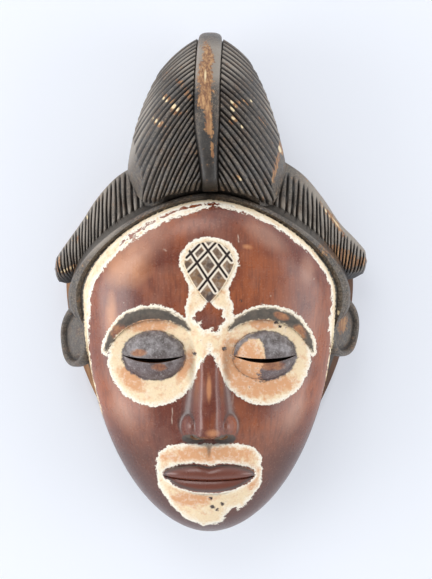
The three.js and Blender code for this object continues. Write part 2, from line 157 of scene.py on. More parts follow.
# %% [markdown]
# ## A ball pulled to shape
# Every form here is closed, as carved wood is. A UV sphere is already closed and has rows and
# columns, so it is a good blank: each of its rings becomes one section across the form, and the
# two poles close the ends. Moving its points by formula is like carving to a drawn section. A
# primitive with extrusions can't give these curves, so this is how the carved forms are made.

# %% Blanks for the carved forms
def deselect():
    bpy.ops.object.select_all(action="DESELECT")


def only(piece):
    deselect()
    piece.select_set(True)
    bpy.context.view_layer.objects.active = piece


def points_of(piece):
    flat = np.empty(len(piece.data.vertices) * 3, np.float32)
    piece.data.vertices.foreach_get("co", flat)
    return flat.reshape(-1, 3)


def keep(piece, name, values):
    """Store one number for each point of a piece."""
    kept = piece.data.attributes.new(name, "FLOAT", "POINT")
    kept.data.foreach_set("value", np.asarray(values, np.float32))


def pull(name, around, rows, place, end=None):
    """place(column, share) gives x, y, z in mm, and may add how deep in a cut the point lies.

    The poles close the end rings at their middle, or at the column called end.
    """
    deselect()
    bpy.ops.mesh.primitive_uv_sphere_add(segments=around, ring_count=rows + 1, radius=1)
    piece = bpy.context.object
    piece.name = piece.data.name = name
    ball = points_of(piece)
    column = np.rint(np.arctan2(ball[:, 1], ball[:, 0]) / (2 * np.pi) * around).astype(int) % around
    ring = np.rint(np.arccos(np.clip(-ball[:, 2], -1, 1)) / np.pi * (rows + 1)).astype(int)
    made = np.array(place(column, np.clip((ring - 1) / (rows - 1), 0, 1))).T
    keep(piece, "own", np.ones(len(made)))
    keep(piece, "valley", made[:, 3] if made.shape[1] > 3 else np.zeros(len(made)))
    made = made[:, :3]
    for pole, nearest in ((0, 1), (rows + 1, rows)):
        closing = (ring == nearest) & (True if end is None else column == end)
        made[ring == pole] = made[closing].mean(axis=0)
    piece.data.vertices.foreach_set("co", (made * MM).astype(np.float32).ravel())
    piece.data.update()
    bpy.ops.object.mode_set(mode="EDIT")
    bpy.ops.mesh.select_all(action="SELECT")
    bpy.ops.mesh.normals_make_consistent(inside=False)
    bpy.ops.object.mode_set(mode="OBJECT")
    return piece


# %% [markdown]
# Hair, lips and brows lie on the dome like plates. A plate is a blank whose rings run along a
# surface: the columns on top follow the carving, and two columns underneath close it.

# %% Plates laid on a surface
def flat(height):
    """The same height everywhere on a plate."""
    return lambda s, t: height + 0 * s


def spot_on(surface, x, y):
    h = 0.5
    slope_x = (surface(x + h, y) - surface(x - h, y)) / (2 * h)
    slope_y = (surface(x, y + h) - surface(x, y - h)) / (2 * h)
    out = np.stack([-slope_x, -slope_y, np.ones_like(slope_x)])
    return np.stack([x, y, surface(x, y)]), out / np.linalg.norm(out, axis=0)


def plate(name, rows, columns, spot, top, under, valley=None):
    """spot(s, t) gives places and directions; top and under the heights of the two sides."""
    t_of = np.concatenate([columns, [columns[-1], columns[0]]])
    on_top = np.arange(len(t_of)) < len(columns)

    def place(column, s):
        t = t_of[column]
        on, out = spot(s, t)
        made = on + out * np.where(on_top[column], top(s, t), under(s, t))
        deep = np.where(on_top[column], valley(s, t), 1) if valley else np.zeros(len(s))
        return np.concatenate([made, deep[None]])

    return pull(name, len(t_of), rows, place)


# %% [markdown]
# ## The head
# The head is the rear rim, the wall round the hollow, the band along the hairline and the face.
# The eye sockets, the nose and the soft swelling round the mouth are one skin with the face, so
# they are added to the height of the dome before the blank is pulled.

# %% Relief of the face
NOSE_LEAD = 14  # how far above its root the ridge begins to rise
TIP_PROUD, TIP_HALF, TIP_TALL, TIP_UP = 1.2, 9, 10, 9
WING_PROUD, WING_HALF, WING_TALL, WING_UP = 8.8, 8.6, 11, 7
MOUND_PROUD, MOUND_HALF, MOUND_TALL = 4.2, 44, 27
GROOVE_DEEP, GROOVE_HALF, GROOVE_TALL = 1.1, 3.2, 9
CHIN_PROUD, CHIN_HALF, CHIN_TALL = 3.2, 25, 17


def socket(x, y):
    reach = np.hypot(np.abs(x) - EYE_X, y - EYE_Y) / SOCKET_RADIUS
    return SOCKET_DEEP * np.clip(1 - reach**2, 0, 1) ** 1.15


def nose(x, y):
    side, top = np.abs(x), NOSE_ROOT + NOSE_LEAD
    down = np.clip((top - y) / (top - NOSE_BASE), 0, 1)
    half = 6 + 4 * step(down, 0.3, 1) + 5 * (1 - down) ** 3
    ridge = NOSE_PROUD * (0.06 + 0.94 * step(down, -0.15, 0.95)) / (1 + (side / half) ** 5)
    tip = TIP_PROUD * hill(np.hypot(side / TIP_HALF, (y - NOSE_BASE - TIP_UP) / TIP_TALL))
    wing = np.hypot((side - WING_X - 0.2) / WING_HALF, (y - NOSE_BASE - WING_UP) / WING_TALL)
    wing = WING_PROUD * hill(wing) ** 0.75
    under = step(y, NOSE_BASE - 2.6, NOSE_BASE + 1.6)
    start = step(y, NOSE_ROOT + 22, NOSE_ROOT + 2)
    return np.maximum(ridge * start + tip, wing) * under


def mouth_mound(x, y):
    around = np.hypot(x / MOUND_HALF, (y - MOUTH_Y - 1) / MOUND_TALL)
    groove_y = (NOSE_BASE + MOUTH_Y + LIP_TALL) / 2
    groove = GROOVE_DEEP * hill(np.hypot(x / GROOVE_HALF, (y - groove_y) / GROOVE_TALL))
    chin = CHIN_PROUD * hill(np.hypot(x / CHIN_HALF, (y - CHIN_BOSS_Y) / CHIN_TALL))
    return MOUND_PROUD * hill(around) - groove + chin


def relief(x, y):
    return dome(x, y) - socket(x, y) + nose(x, y) + mouth_mound(x, y)


# %% [markdown]
# Each ring of the head starts at the rear rim on the left, climbs the wall, crosses the face and
# comes down on the right. The hollow is the same form drawn in by the wall's thickness.

# %% Sections across the head
BAND_TOP, BAND_TEMPLE, BAND_DROP = 5, 10, 6
RIM_THICK, RIM_STEP, RIM_BELOW, RIM_ABOVE = 11, 7, 16, 30
RIM_FOOT, RIM_HEAD, RIM_WIDEST = CHIN_Y + RIM_BELOW, HAIR_Y + RIM_ABOVE, TEMPLE_Y + 6


def rim_half(y):
    above = rounded((y - RIM_WIDEST) / (RIM_HEAD - RIM_WIDEST), 2.2)
    below = rounded((y - RIM_WIDEST) / (RIM_WIDEST - RIM_FOOT), 1.7)
    return RIM_WIDTH / 2 * np.where(y > RIM_WIDEST, above, below)


def wall_line(v, inset):
    """Stations up the wall from the rear rim to the face's edge, as x, y, z for each v."""
    y = CHIN_Y + FACE_LENGTH * v
    half, edge = face_half(y), edge_height(y)
    rim_y = RIM_FOOT + (RIM_HEAD - RIM_FOOT) * v
    rim = rim_half(rim_y)
    grow = BAND_TOP + (BAND_TEMPLE - BAND_TOP) * step(y, HAIR_Y, TEMPLE_Y)
    wide = grow * step(y, at(0.4), at(0.3))
    out = np.stack([half, (y - TEMPLE_Y) * 0.6])
    out = out / np.maximum(np.linalg.norm(out, axis=0), 1e-6)

    def ring(share, z):
        return np.stack([rim * share, TEMPLE_Y + (rim_y - TEMPLE_Y) * share, z + 0 * y])

    def band(share, z):
        return np.stack([half + out[0] * share * wide, y + out[1] * share * wide, edge + z])

    waist = 1 - 2 * RIM_STEP / RIM_WIDTH
    worn = 0 if inset else 1.2
    return [
        ring(1 - worn / RIM_WIDTH * 2, -inset - 1 if inset else 0),
        ring(1, worn),
        ring(1, RIM_THICK - worn),
        ring(1 - worn / RIM_WIDTH * 2, RIM_THICK),
        ring(waist, RIM_THICK + 5),
        band(1.05, -BAND_DROP - 3),
        band(1.02, -BAND_DROP + 1),
        band(0.85, -0.6),
        band(0.45, 1.2),
        band(0.12, -0.6),
        band(0, 0),
    ]


def head_section(face_columns, wall_steps, inset=0.0):
    share = np.linspace(0, 1, face_columns)
    across = 0.62 * (2 * share - 1) + 0.38 * np.sin((share - 0.5) * np.pi)
    surface = dome if inset else relief

    def place(column, s):
        v = 0.7 * s + 0.3 * (1 - np.cos(np.pi * s)) / 2
        y = CHIN_Y + FACE_LENGTH * v
        line = wall_line(v, inset)
        n_wall = wall_steps * (len(line) - 1)
        left = column < n_wall
        right = column >= n_wall + face_columns
        front = np.clip(column - n_wall, 0, face_columns - 1)
        x = across[front] * face_half(y)
        made = np.stack([x, y, surface(x, y)])
        climb = np.where(left, column, n_wall - 1 - (column - n_wall - face_columns)) / wall_steps
        k = np.clip(climb.astype(int), 0, len(line) - 2)
        t = climb - k
        stack = np.stack(line)
        idx = np.arange(len(column))
        wall = stack[k, :, idx].T * (1 - t) + stack[k + 1, :, idx].T * t
        wall[0] *= np.where(left, -1, 1)
        made = np.where(left | right, wall, made)
        shrink = np.array([1 - 2 * inset / FACE_WIDTH, 1 - 2.4 * inset / FACE_LENGTH])
        made[0] *= shrink[0]
        made[1] = TEMPLE_Y + (made[1] - TEMPLE_Y) * shrink[1]
        made[2] -= inset
        return made

    return place, 2 * wall_steps * 10 + face_columns


# %% Pull the head and the hollow
# the end rings are flat and bent in at the waist, so the poles close them there
HEAD_ROWS, HOLLOW_ROWS, WAIST_STATION = 226, 90, 4
section, around = head_section(face_columns=184, wall_steps=2)
head = pull("carved_mask", around, HEAD_ROWS, section, end=2 * WAIST_STATION)
section, around = head_section(face_columns=60, wall_steps=1, inset=WALL)
hollow = pull("hollow", around, HOLLOW_ROWS, section, end=WAIST_STATION)
print("head:", len(head.data.polygons), "faces")

# %% [markdown]
# ## Eyes, brows and mouth
# The lids are round hills that stand in the sockets, each with a thin bent slit cut right through
# for the dancer to see by. They could be raised from the face's own skin, but the crease round them
# would be blurred, so each is a blank of its own, turned like a bowl and joined to the head later.

# %% Lids and the slits between them
SLIT_HALF, SLIT_HIGH, SLIT_SAG = 19.5, 2.4, 3
SLIT_FRONT, SLIT_REAR = 160, 30  # the slits' blanks reach past both sides of the wall


def turned(name, spot, profile, around, rows, squash=1.0):
    """A form turned about the direction square to the surface. profile(s) gives radius, height."""
    on, out = (part[:, 0] for part in spot)
    side = np.cross([0, 1, 0], out)
    side /= np.linalg.norm(side)
    up = np.cross(out, side)

    def place(column, s):
        angle = column / around * 2 * np.pi
        radius, height = profile(s, angle)
        across, along = radius * np.cos(angle), radius * np.sin(angle) * squash
        return on[:, None] + side[:, None] * across + up[:, None] * along + out[:, None] * height

    return pull(name, around, rows, place)


def spot_at(surface, x, y):
    return spot_on(surface, np.array([float(x)]), np.array([float(y)]))


def lid_profile(s, angle):
    floor = -SOCKET_DEEP - 2
    swing = np.clip((s - 0.3) / 0.7, 0, 1) * np.pi / 2
    radius = np.where(s < 0.3, LID_ACROSS * s / 0.3, LID_ACROSS * np.cos(swing) ** 0.9)
    return radius, floor + (LID_PROUD + 2) * np.sin(swing)


def lens(name, x, y, half, high, sag):
    def spot(s, t):
        u = 2 * s - 1
        line = y - sag * (1 - u * u) + (t - 0.5) * high * (1.15 - u * u)
        on = np.stack([x + u * half, line, 0 * u])
        return on, np.stack([0 * u, 0 * u, 0 * u + 1])

    return plate(name, 40, np.array([0, 0.5, 1]), spot, flat(SLIT_FRONT), flat(SLIT_REAR))


LID_SQUASH = LID_ALONG / LID_ACROSS
lids = [turned("lid", spot_at(dome, k * EYE_X, EYE_Y), lid_profile, 72, 30, LID_SQUASH) for k in BOTH]
slits = [lens("slit", k * EYE_X, EYE_Y, SLIT_HALF, SLIT_HIGH, SLIT_SAG) for k in BOTH]


print("lids:", len(lids[0].data.polygons), "faces each")

# %% [markdown]
# The brows are thin raised arches. On the real mask they stand hardly more than a millimetre proud
# and end in a crisp step, which the face's own mesh is too coarse for. A plate laid along a part of
# a circle keeps both its edges sharp.

# %% Brows
def brow_line(k, s, t):
    """Place on a brow: s runs from its outer to its inner end, t across it."""
    angle = np.radians(BROW_OUTER + (BROW_INNER - BROW_OUTER) * s)
    reach = BROW_RADIUS + (t - 0.5) * (BROW_THICK * np.sin(np.pi * s) ** 0.7 + 1)
    return k * (EYE_X + reach * np.cos(angle)), EYE_Y - BROW_BELOW + reach * np.sin(angle)


def brow_plate(k):
    spot = lambda s, t: spot_on(dome, *brow_line(k, s, t))
    top = lambda s, t: BROW_PROUD * (1 - 0.5 * (2 * t - 1) ** 2)
    return plate("brow", 50, np.linspace(0, 1, 9), spot, top, flat(-9))


brows = [brow_plate(k) for k in BOTH]
print("brows:", BROW_PROUD, "mm proud")

# %% [markdown]
# The lips are two rolls that meet in a thin line, with a shallow bow in the upper one. They are
# plates as well, one above and one below the line. The nostrils are two small balls, cut out of the
# nose so that they end blind.

# %% Lips and nostrils
def lip_line(up, s, t):
    """Place on a lip: s runs along it, t from the mouth's line outwards."""
    u = 2 * s - 1
    bow = 1.5 * np.exp(-((u / 0.16) ** 2)) * t * (up > 0)
    tall = LIP_TALL * (1 - np.abs(u) ** 2.2) ** 0.7 + 0.6
    return u * MOUTH_HALF, MOUTH_Y + 2.2 * u * u + up * (0.3 + tall * t - bow)


def lip_plate(up):
    spot = lambda s, t: spot_on(dome, *lip_line(up, s, t))

    def top(s, t):
        ends = (1 - np.abs(2 * s - 1) ** 3) ** 0.6
        return 2.2 + LIP_PROUD * ends * np.sin(np.pi * (0.12 + 0.88 * t)) ** 0.55

    return plate("lip", 90, np.linspace(0, 1, 17), spot, top, flat(-3))


def nostril(k):
    spot = spot_at(dome, k * (WING_X - 1.2), NOSE_BASE - 0.6)
    turn = lambda s, angle: (3.1 * np.sin(np.pi * s), 4.6 - 3.0 * np.cos(np.pi * s))
    return turned("nostril", spot, turn, 24, 14, 1.5)


lips = [lip_plate(up) for up in (1, -1)]
nostrils = [nostril(k) for k in BOTH]
print("mouth:", 2 * MOUTH_HALF, "mm wide")

# %% [markdown]
# ## The cut pattern on the forehead
# The patch is a low cushion with two sets of slanting V cuts. Its mesh is finer than the face's,
# because a cut is only a millimetre and a half wide.

# %% Patch with slanting cuts
CUT_WIDE, CUT_DEEP = 1.9, 1.2
SCAR_CUTS = [
    [[-14, 11], [4, -17]],
    [[-4, 13], [11, -8]],
    [[6, 12], [14, 2]],
    [[13, 8], [-7, -17]],
    [[4, 13], [-13, -5]],
    [[-6, 12], [-14, 4]],
]


def scar_half(y):
    up = rounded((y - SCAR_Y) / SCAR_UP, 2.1)
    below = np.clip((SCAR_Y - y) / SCAR_DOWN, 0, 1)
    return SCAR_HALF * np.where(y > SCAR_Y, up, (1 - below) ** 0.85 * (1 + 0.25 * below))


def from_line(x, y, start, end):
    """Distance in mm from the straight line between two points."""
    (ax, ay), dx, dy = start, end[0] - start[0], end[1] - start[1]
    t = np.clip(((x - ax) * dx + (y - ay) * dy) / max(dx * dx + dy * dy, 1e-9), 0, 1)
    return np.hypot(x - ax - t * dx, y - ay - t * dy)


def cut_distance(x, y):
    """Distance in mm from the nearest slanting cut."""
    return np.min([from_line(x, y - SCAR_Y, start, end) for start, end in SCAR_CUTS], axis=0)


def scar_spot(s, t):
    y = SCAR_Y - SCAR_DOWN + (SCAR_UP + SCAR_DOWN) * s
    return spot_on(dome, (2 * t - 1) * (scar_half(y) + 0.4), y)


def scar_top(s, t):
    on, _ = scar_spot(s, t)
    cut = CUT_DEEP * np.clip(1 - cut_distance(on[0], on[1]) / (CUT_WIDE / 2), 0, 1)
    return SCAR_PROUD - cut - 0.5 * np.abs(2 * t - 1) ** 6


scar = plate("scar patch", 90, np.linspace(0, 1, 66), scar_spot, scar_top, flat(-2))
print("cut patch:", 2 * SCAR_HALF, "by", SCAR_UP + SCAR_DOWN, "mm,", len(SCAR_CUTS), "cuts")

# %% [markdown]
# ## Combed hair
# A keel runs up the middle of the crest, and narrow locks leave it on both sides and run out and
# down. They were cut one by one with a gouge, so no two are quite the same width. Each lock here
# is a run of rows with a rounded back and a sharp valley, and a slow wave makes them uneven.

# %% The crest's own form
CREST_HALF, CREST_WIDEST, CREST_FOOT, CREST_SIDE, CREST_LEAN, CREST_BACK = 55, 72, 36, 34, -2, 5
CREST_WAIST = 10  # how much narrower each side is at the foot
CREST_RIDGE = [[36, 88], [62, 97], [90, 98], [120, 90], [145, 73], [160, 53], [165, 36]]
FRONT_FOOT, FRONT_SLOPE = 64, 3.2  # the crest's front climbs steeply behind the band


def crest_half(y):
    t = np.clip((y - CREST_WIDEST) / (CREST_TOP - CREST_WIDEST), 0, 1)
    foot = np.clip((CREST_WIDEST - y) / (CREST_WIDEST - CREST_FOOT), 0, 1)
    return CREST_HALF * (1 - t**1.35) ** 0.472 - CREST_WAIST * foot**1.3


def crest_middle(y):
    return CREST_LEAN * np.sin(np.pi * np.clip((y - CREST_FOOT) / (CREST_TOP - CREST_FOOT), 0, 1))


def crest(x, y):
    half, ridge = crest_half(y), through(CREST_RIDGE, y)
    u = np.where(half > 0, np.clip(np.abs(x - crest_middle(y)) / np.maximum(half, 1e-6), 0, 1), 1)
    side = np.minimum(CREST_SIDE, ridge)
    back = side + (ridge - side) * (1 - u**2.2) ** 0.6
    front = np.maximum(FRONT_FOOT + FRONT_SLOPE * above_hairline(x, y), CREST_SIDE)
    return (back + front - np.hypot(back - front, 6)) / 2


POCKET = 2.6  # how far the core lies under the combed hair


def crest_core():
    front = np.sin((np.linspace(0, 1, 41) - 0.5) * np.pi)
    rear = np.linspace(0.96, -0.96, 17)

    def place(column, s):
        y = CREST_FOOT + (CREST_TOP - CREST_FOOT) * 0.985 * (1 - (1 - s) ** 1.7)
        middle, half = crest_middle(y), crest_half(y)
        u = front[np.minimum(column, 40)]
        on, out = spot_on(crest, middle + u * half * 0.98, y)
        w = rear[np.clip(column - 41, 0, 16)]
        side = np.minimum(CREST_SIDE, through(CREST_RIDGE, y)) - POCKET
        back = CREST_BACK + (side - CREST_BACK) * ((y - CREST_FOOT) / (CREST_TOP - CREST_FOOT)) ** 6
        behind = np.stack([middle + w * (half - POCKET), y, back + (side - back) * 0.35 * w**8])
        return np.where(column <= 40, on - out * POCKET, behind)

    return pull("crest core", 58, 50, place)


# %% [markdown]
# The keel is the smooth ridge between the two combed sides. It widens upwards and leans a little to
# one side, as hand carving does. It is a plate of its own, because locks end against it in a crisp
# line. The core under it and under the locks closes the crest, so no gap can show between them.

# %% Keel
KEEL_HALF, KEEL_SPREAD, KEEL_PROUD = 4.7, 3.0, 3.4
KEEL_FOOT, KEEL_SHORT = 5.5, 7.7  # above the hairline, and short of the crest's top with that


def keel_half(y):
    return KEEL_HALF + KEEL_SPREAD * step(y, HAIR_Y + 8, HAIR_Y + 60)


def keel_middle(y):
    return 0.6 - 2 * np.sin(np.pi * np.clip((y - HAIR_Y - 8) / 100, 0, 1))


def keel_spot(s, t):
    y = HAIR_Y + KEEL_FOOT + (CREST_TOP - KEEL_SHORT - HAIR_Y) * s
    return spot_on(crest, keel_middle(y) + (2 * t - 1) * keel_half(y), y)


def keel_top(s, t):
    round_back = KEEL_PROUD * (1 - np.abs(2 * t - 1) ** 3) ** 0.5 * (0.1 + 0.9 * step(s, -0.02, 0.09))
    return round_back - step(s, 0.94, 1) + 0.25 * np.sin(s * 37) * (1 - s)


core = crest_core()
keel_columns = 0.5 - 0.5 * np.cos(np.linspace(0, np.pi, 19))
keel = plate("keel", 130, keel_columns, keel_spot, keel_top, flat(-5))
print("keel:", round(2 * KEEL_HALF, 1), "to", round(2 * (KEEL_HALF + KEEL_SPREAD), 1), "mm wide")

# %% [markdown]
# A lock's place in the row of locks gives its depth. The same number is kept as an attribute of
# each point, 1 in the bottom of a cut and 0 on a lock's back, so the materials know the valleys.

# %% Locks
COMB_DEEP, STRIP_WIDE = 2.0, 10
LOCK_ROWS = 8  # rows of the mesh in each lock


def uneven(lock, t, seed):
    """A slow wave, other for each lock, between -1 and 1."""
    return np.sin(lock * 2.4 + seed) * 0.5 + np.sin(t * 7 + lock * 1.7 + seed * 3) * 0.5


def lock_depth(s, t, locks, seed):
    """0 on the back of a lock and 1 in the valley between two."""
    phase = s * locks
    lock = np.floor(phase + 0.5)
    wave = 0.13 * uneven(lock, t, seed) * np.clip(np.minimum(phase, locks - phase), 0, 1)
    across = np.abs((phase + wave) % 1 * 2 - 1)
    return across**2.5


def smooth_line(points):
    knots = np.linspace(0, 1, len(points))
    xs, ys = np.array(points, float).T
    return lambda s: (through(np.stack([knots, xs], 1), s), through(np.stack([knots, ys], 1), s))


def comb_plate(name, rows, columns, spot, locks, seed, combed, ends, under):
    """A plate of locks side by side. combed is 1 where they run and 0 on smooth borders."""
    depth = lambda s, t: lock_depth(s, t, locks, seed) * combed(s, t)
    swell = lambda s, t: 1 + 0.15 * uneven(np.floor(s * locks), t, seed + 5)
    top = lambda s, t: ends(s, t) - COMB_DEEP * depth(s, t) * swell(s, t)
    return plate(name, rows, columns, spot, top, under, depth)


CREST_LOCKS, LOBE_LOCKS = {-1: 26, 1: 24}, 24
CROWDED = 0.26  # how much closer the locks stand at the top than at the foot
CREST_CORNERS = {-1: [[60, 93], [60, 77], [43, 51]], 1: [[60, 98], [60, 82], [53, 66], [44, 50]]}
CREST_BOWS = {-1: 0.09, 1: 0.08}
COMB_FOOT = 6.2  # how far from the hairline the locks end


def crest_comb(k):
    corners = [list(corner) for corner in CREST_CORNERS[k]]
    for x in (24, 6):
        at_zero, tilt = above_hairline(x, 0), above_hairline(x, 1) - above_hairline(x, 0)
        corners.append([x, (COMB_FOOT - at_zero) / tilt])
    outer = smooth_line(corners)

    def spot(s, t):
        s = s * (1 - CROWDED * (1 - s))
        y0 = CREST_TOP - 4 + (HAIR_Y + 12 - CREST_TOP) * s
        x0 = keel_middle(y0) + k * (keel_half(y0) + 1.1)
        x1, y1 = outer(s)
        x1 = k * x1
        bow = CREST_BOWS[k] * (1 - s) * 4 * t * (1 - t)
        x = x0 + (x1 - x0) * t + k * np.abs(y1 - y0) * bow
        y = y0 + (y1 - y0) * t + np.abs(x1 - x0) * bow
        most = crest_half(y) * 0.975
        middle = crest_middle(y)
        return spot_on(crest, middle + np.clip(x - middle, -most, most), y)

    def from_strip(s, t):
        """Distance in mm from the smooth strip that runs down the crest's lower side."""
        x, y = spot(s, t)[0][:2]
        wide = STRIP_WIDE * np.clip((94 - y) / 24, 0, 1) ** 0.8 * (1 - 0.6 * step(y, 66, 48))
        return crest_half(y) * 0.975 - np.abs(x - crest_middle(y)) - wide

    def combed(s, t):
        gap = from_strip(s, t)
        return np.where(spot(s, t)[0][1] < 94, step(gap, -0.2, 0.9), 1)

    ends = lambda s, t: -1.6 * step(t, 0.94, 1) * step(s, 0.5, 0.62) - 0.9 * hill(from_strip(s, t) / 0.9)
    rows, columns = CREST_LOCKS[k] * LOCK_ROWS + 1, np.linspace(0, 1, 41)
    under = flat(-POCKET - 2.4)
    return comb_plate("crest locks", rows, columns, spot, CREST_LOCKS[k], 1.0 + k, combed, ends, under)


# %% [markdown]
# The side lobes are flaps of the same hair that hang from the crest towards the ears. The right one
# keeps a smooth strip along its upper edge.

# %% Side lobes
LOBE_THICK, LOBE_INNER, LOBE_TIP, LOBE_SWELL = 15, 56, 38, 3
LOBE_EDGES = {
    -1: (
        [[46, 79], [62, 69.5], [75, 56], [86, 40], [96.5, 26], [107, 11.5]],
        [[41, 43], [60, 29.5], [74.5, 19.5], [84, 12], [93.5, 7], [103.5, 3.5]],
    ),
    1: (
        [[46, 82], [62, 71.5], [75, 57], [87, 40], [98, 29], [108.5, 17.5]],
        [[41, 43], [60, 30], [75, 18], [84, 10], [94, 7], [105.5, 9]],
    ),
}
LOBE_STRIP = {-1: 0.03, 1: 0.15}


def lobe_plate(k):
    upper, lower = (smooth_line(line) for line in LOBE_EDGES[k])
    out = np.array([k * 0.3, 0.42, 1])
    out /= np.linalg.norm(out)

    def spot(s, t):
        (x0, y0), (x1, y1) = upper(s), lower(s)
        depth = LOBE_INNER + (LOBE_TIP - LOBE_INNER) * s - 12 * (1 - t) ** 2
        z = depth + LOBE_SWELL * np.sin(np.pi * t)
        return np.stack([k * (x0 + (x1 - x0) * t), y0 + (y1 - y0) * t, z]), out[:, None] + 0 * s

    strip = LOBE_STRIP[k]
    combed = lambda s, t: step(t, strip, strip + 0.05)
    ends = lambda s, t: -6 * step(s, 0.9, 1) ** 2 - 1.2 * step(t, 0.9, 1) ** 2
    under = lambda s, t: -LOBE_THICK - ends(s, 0 * t) + 3 * (1 - t)
    rows, columns = LOBE_LOCKS * LOCK_ROWS + 1, np.linspace(0, 1, 18)
    return comb_plate("side lobe", rows, columns, spot, LOBE_LOCKS, 4.0 + k, combed, ends, under)


combs = [crest_comb(k) for k in BOTH] + [lobe_plate(k) for k in BOTH]
print("locks:", CREST_LOCKS[-1], "left and", CREST_LOCKS[1], "right,", LOBE_LOCKS, "on each lobe")

# %% [markdown]
# ## Ears
# Each ear is a round boss with a rolled rim and a dished middle, set at a slant on the wall of the
# head. A turned profile gives it. The right ear sits a little higher than the left.

# %% Ears
EAR_RADIUS, EAR_X, EAR_Y, EAR_Z, EAR_TURN, EAR_STAGGER = 19.5, 88.5, -33, 45, 58, 3
EAR_PROFILE = [
    [0, 0, -14], [0.2, 0.7, -14], [0.36, 1, -4.2], [0.46, 1.02, 0.6],
    [0.52, 0.97, 2.2], [0.58, 0.89, 2.5], [0.63, 0.83, 1.6], [0.67, 0.79, -0.6],
    [0.72, 0.73, -0.8], [0.78, 0.62, 0.2], [0.88, 0.35, 1], [1, 0, 1.2],
]  # share along the profile, share of the radius, height


def ear_piece(k):
    turn = np.radians(EAR_TURN)
    on = np.array([[k * EAR_X], [EAR_Y + k * EAR_STAGGER], [EAR_Z]], float)
    out = np.array([[k * np.sin(turn)], [0], [np.cos(turn)]])
    share, radius, height = np.array(EAR_PROFILE).T

    def profile(s, angle):
        r = through(np.stack([share, radius], 1), s)
        uneven_rim = 1 + 0.03 * np.sin(2 * angle + k) + 0.015 * np.sin(5 * angle)
        return EAR_RADIUS * r * uneven_rim, through(np.stack([share, height], 1), s)

    return turned("ear", (on, out), profile, 72, 44)


ears = [ear_piece(k) for k in BOTH]
print("ears:", [len(ear.data.polygons) for ear in ears], "faces")

# %% [markdown]
# ## Three surfaces on one block
# The mask is one piece of wood with three surfaces: the oiled red face, the blackened hair and the
# bare wood of the rim and the hollow. Each face of the mesh gets its surface by where it lies,
# before the blanks are joined, because a union keeps the material of each side.

# %% Where each surface lies
FACE, HAIR, BARE = 0, 1, 2
surfaces = [bpy.data.materials.new(name) for name in ("oiled_red_wood", "blackened_wood", "bare_wood")]


def middles(piece):
    flat = np.empty(len(piece.data.polygons) * 3, np.float32)
    piece.data.polygons.foreach_get("center", flat)
    return flat.reshape(-1, 3).T / MM


def dress(piece, which):
    for surface in surfaces:
        piece.data.materials.append(surface)
    index = np.zeros(len(piece.data.polygons), np.int32) + which
    piece.data.polygons.foreach_set("material_index", index)


x, y, z = middles(head)
on_face = (np.abs(x) <= face_half(y) + 0.02) & (z > edge_height(y) - 0.3)
dress(head, np.where(on_face, FACE, np.where(z < RIM_THICK + 2.5, BARE, HAIR)))
for blank in lids + brows + lips + [scar]:
    dress(blank, FACE)
for blank in [core, keel] + ears + combs:
    dress(blank, HAIR)
for blank in slits + nostrils + [hollow]:
    dress(blank, BARE)

# %% [markdown]
# ## Joining the blanks
# Lids, brows, lips, cut patch, hair and ears become one solid with the head, and the slits, the
# nostrils and the hollow are cut out of it. Blender's manifold solver does this fast and cleanly
# where every blank is closed.

# %% Join and cut
def boolean(piece, other, how):
    only(piece)
    made = piece.modifiers.new(how.lower(), "BOOLEAN")
    made.object, made.operation, made.solver = other, how, "MANIFOLD"
    made.material_mode = "TRANSFER"
    bpy.ops.object.modifier_apply(modifier=made.name)
    bpy.data.objects.remove(other)


for added in lids + brows + lips + [scar]:
    boolean(head, added, "UNION")
for cut in slits + nostrils:
    boolean(head, cut, "DIFFERENCE")
for added in [core, keel] + ears + combs:
    boolean(head, added, "UNION")
boolean(head, hollow, "DIFFERENCE")
only(head)
CREASE = 40  # degrees between faces that still look smooth
bpy.ops.object.shade_smooth_by_angle(angle=np.radians(CREASE))
print("mask:", len(head.data.vertices), "points,", len(head.data.polygons), "faces")
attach(head, "root")
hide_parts("mask")

# %% [markdown]
# ## Painted shade in the hollows
# Each point is compared with the mean of its neighbours: where the softened surface lies outside
# the real one the point is in a hollow, and where it lies inside, on an edge. The materials darken
# the hollows by how sunk each point is, as painted shade.

# %% Hollows and edges
mesh = head.data
ends = np.empty(len(mesh.edges) * 2, np.int32)
mesh.edges.foreach_get("vertices", ends)
a, b = ends.reshape(-1, 2).T
count = len(mesh.vertices)


def kept(name):
    values = np.zeros(count, np.float32)
    mesh.attributes[name].data.foreach_get("value", values)
    return values


def neighbours(values, weight):
    """The weighted mean of each point's neighbours."""
    total = np.bincount(a, (values * weight)[b], count) + np.bincount(b, (values * weight)[a], count)
    shares = np.bincount(a, weight[b], count) + np.bincount(b, weight[a], count)
    return total / np.maximum(shares, 1e-6)


own = kept("own")
valley = np.where(own > 0.5, kept("valley"), neighbours(kept("valley"), own))
points = points_of(head).T / MM
soft = points.astype(float)
ROUNDS = 14  # of softening
for _ in range(ROUNDS):
    soft = np.stack([neighbours(axis, np.ones(count)) for axis in soft])
normals = np.empty(count * 3, np.float32)
mesh.vertex_normals.foreach_get("vector", normals)
sunk = ((soft - points) * normals.reshape(-1, 3).T).sum(axis=0)
print("sunk from", sunk.min().round(2), "to", sunk.max().round(2), "mm")

# %% [markdown]
# ## Where the paints go
# White kaolin clay was laid round the eyes, the mouth and the hairline and round the cut patch, and
# charcoal on the lids and brows. Each paint is kept as a distance in mm from its edge, positive
# inside. A distance changes smoothly from point to point, so the material can find a crisp or a
# ragged edge between the points of the mesh.

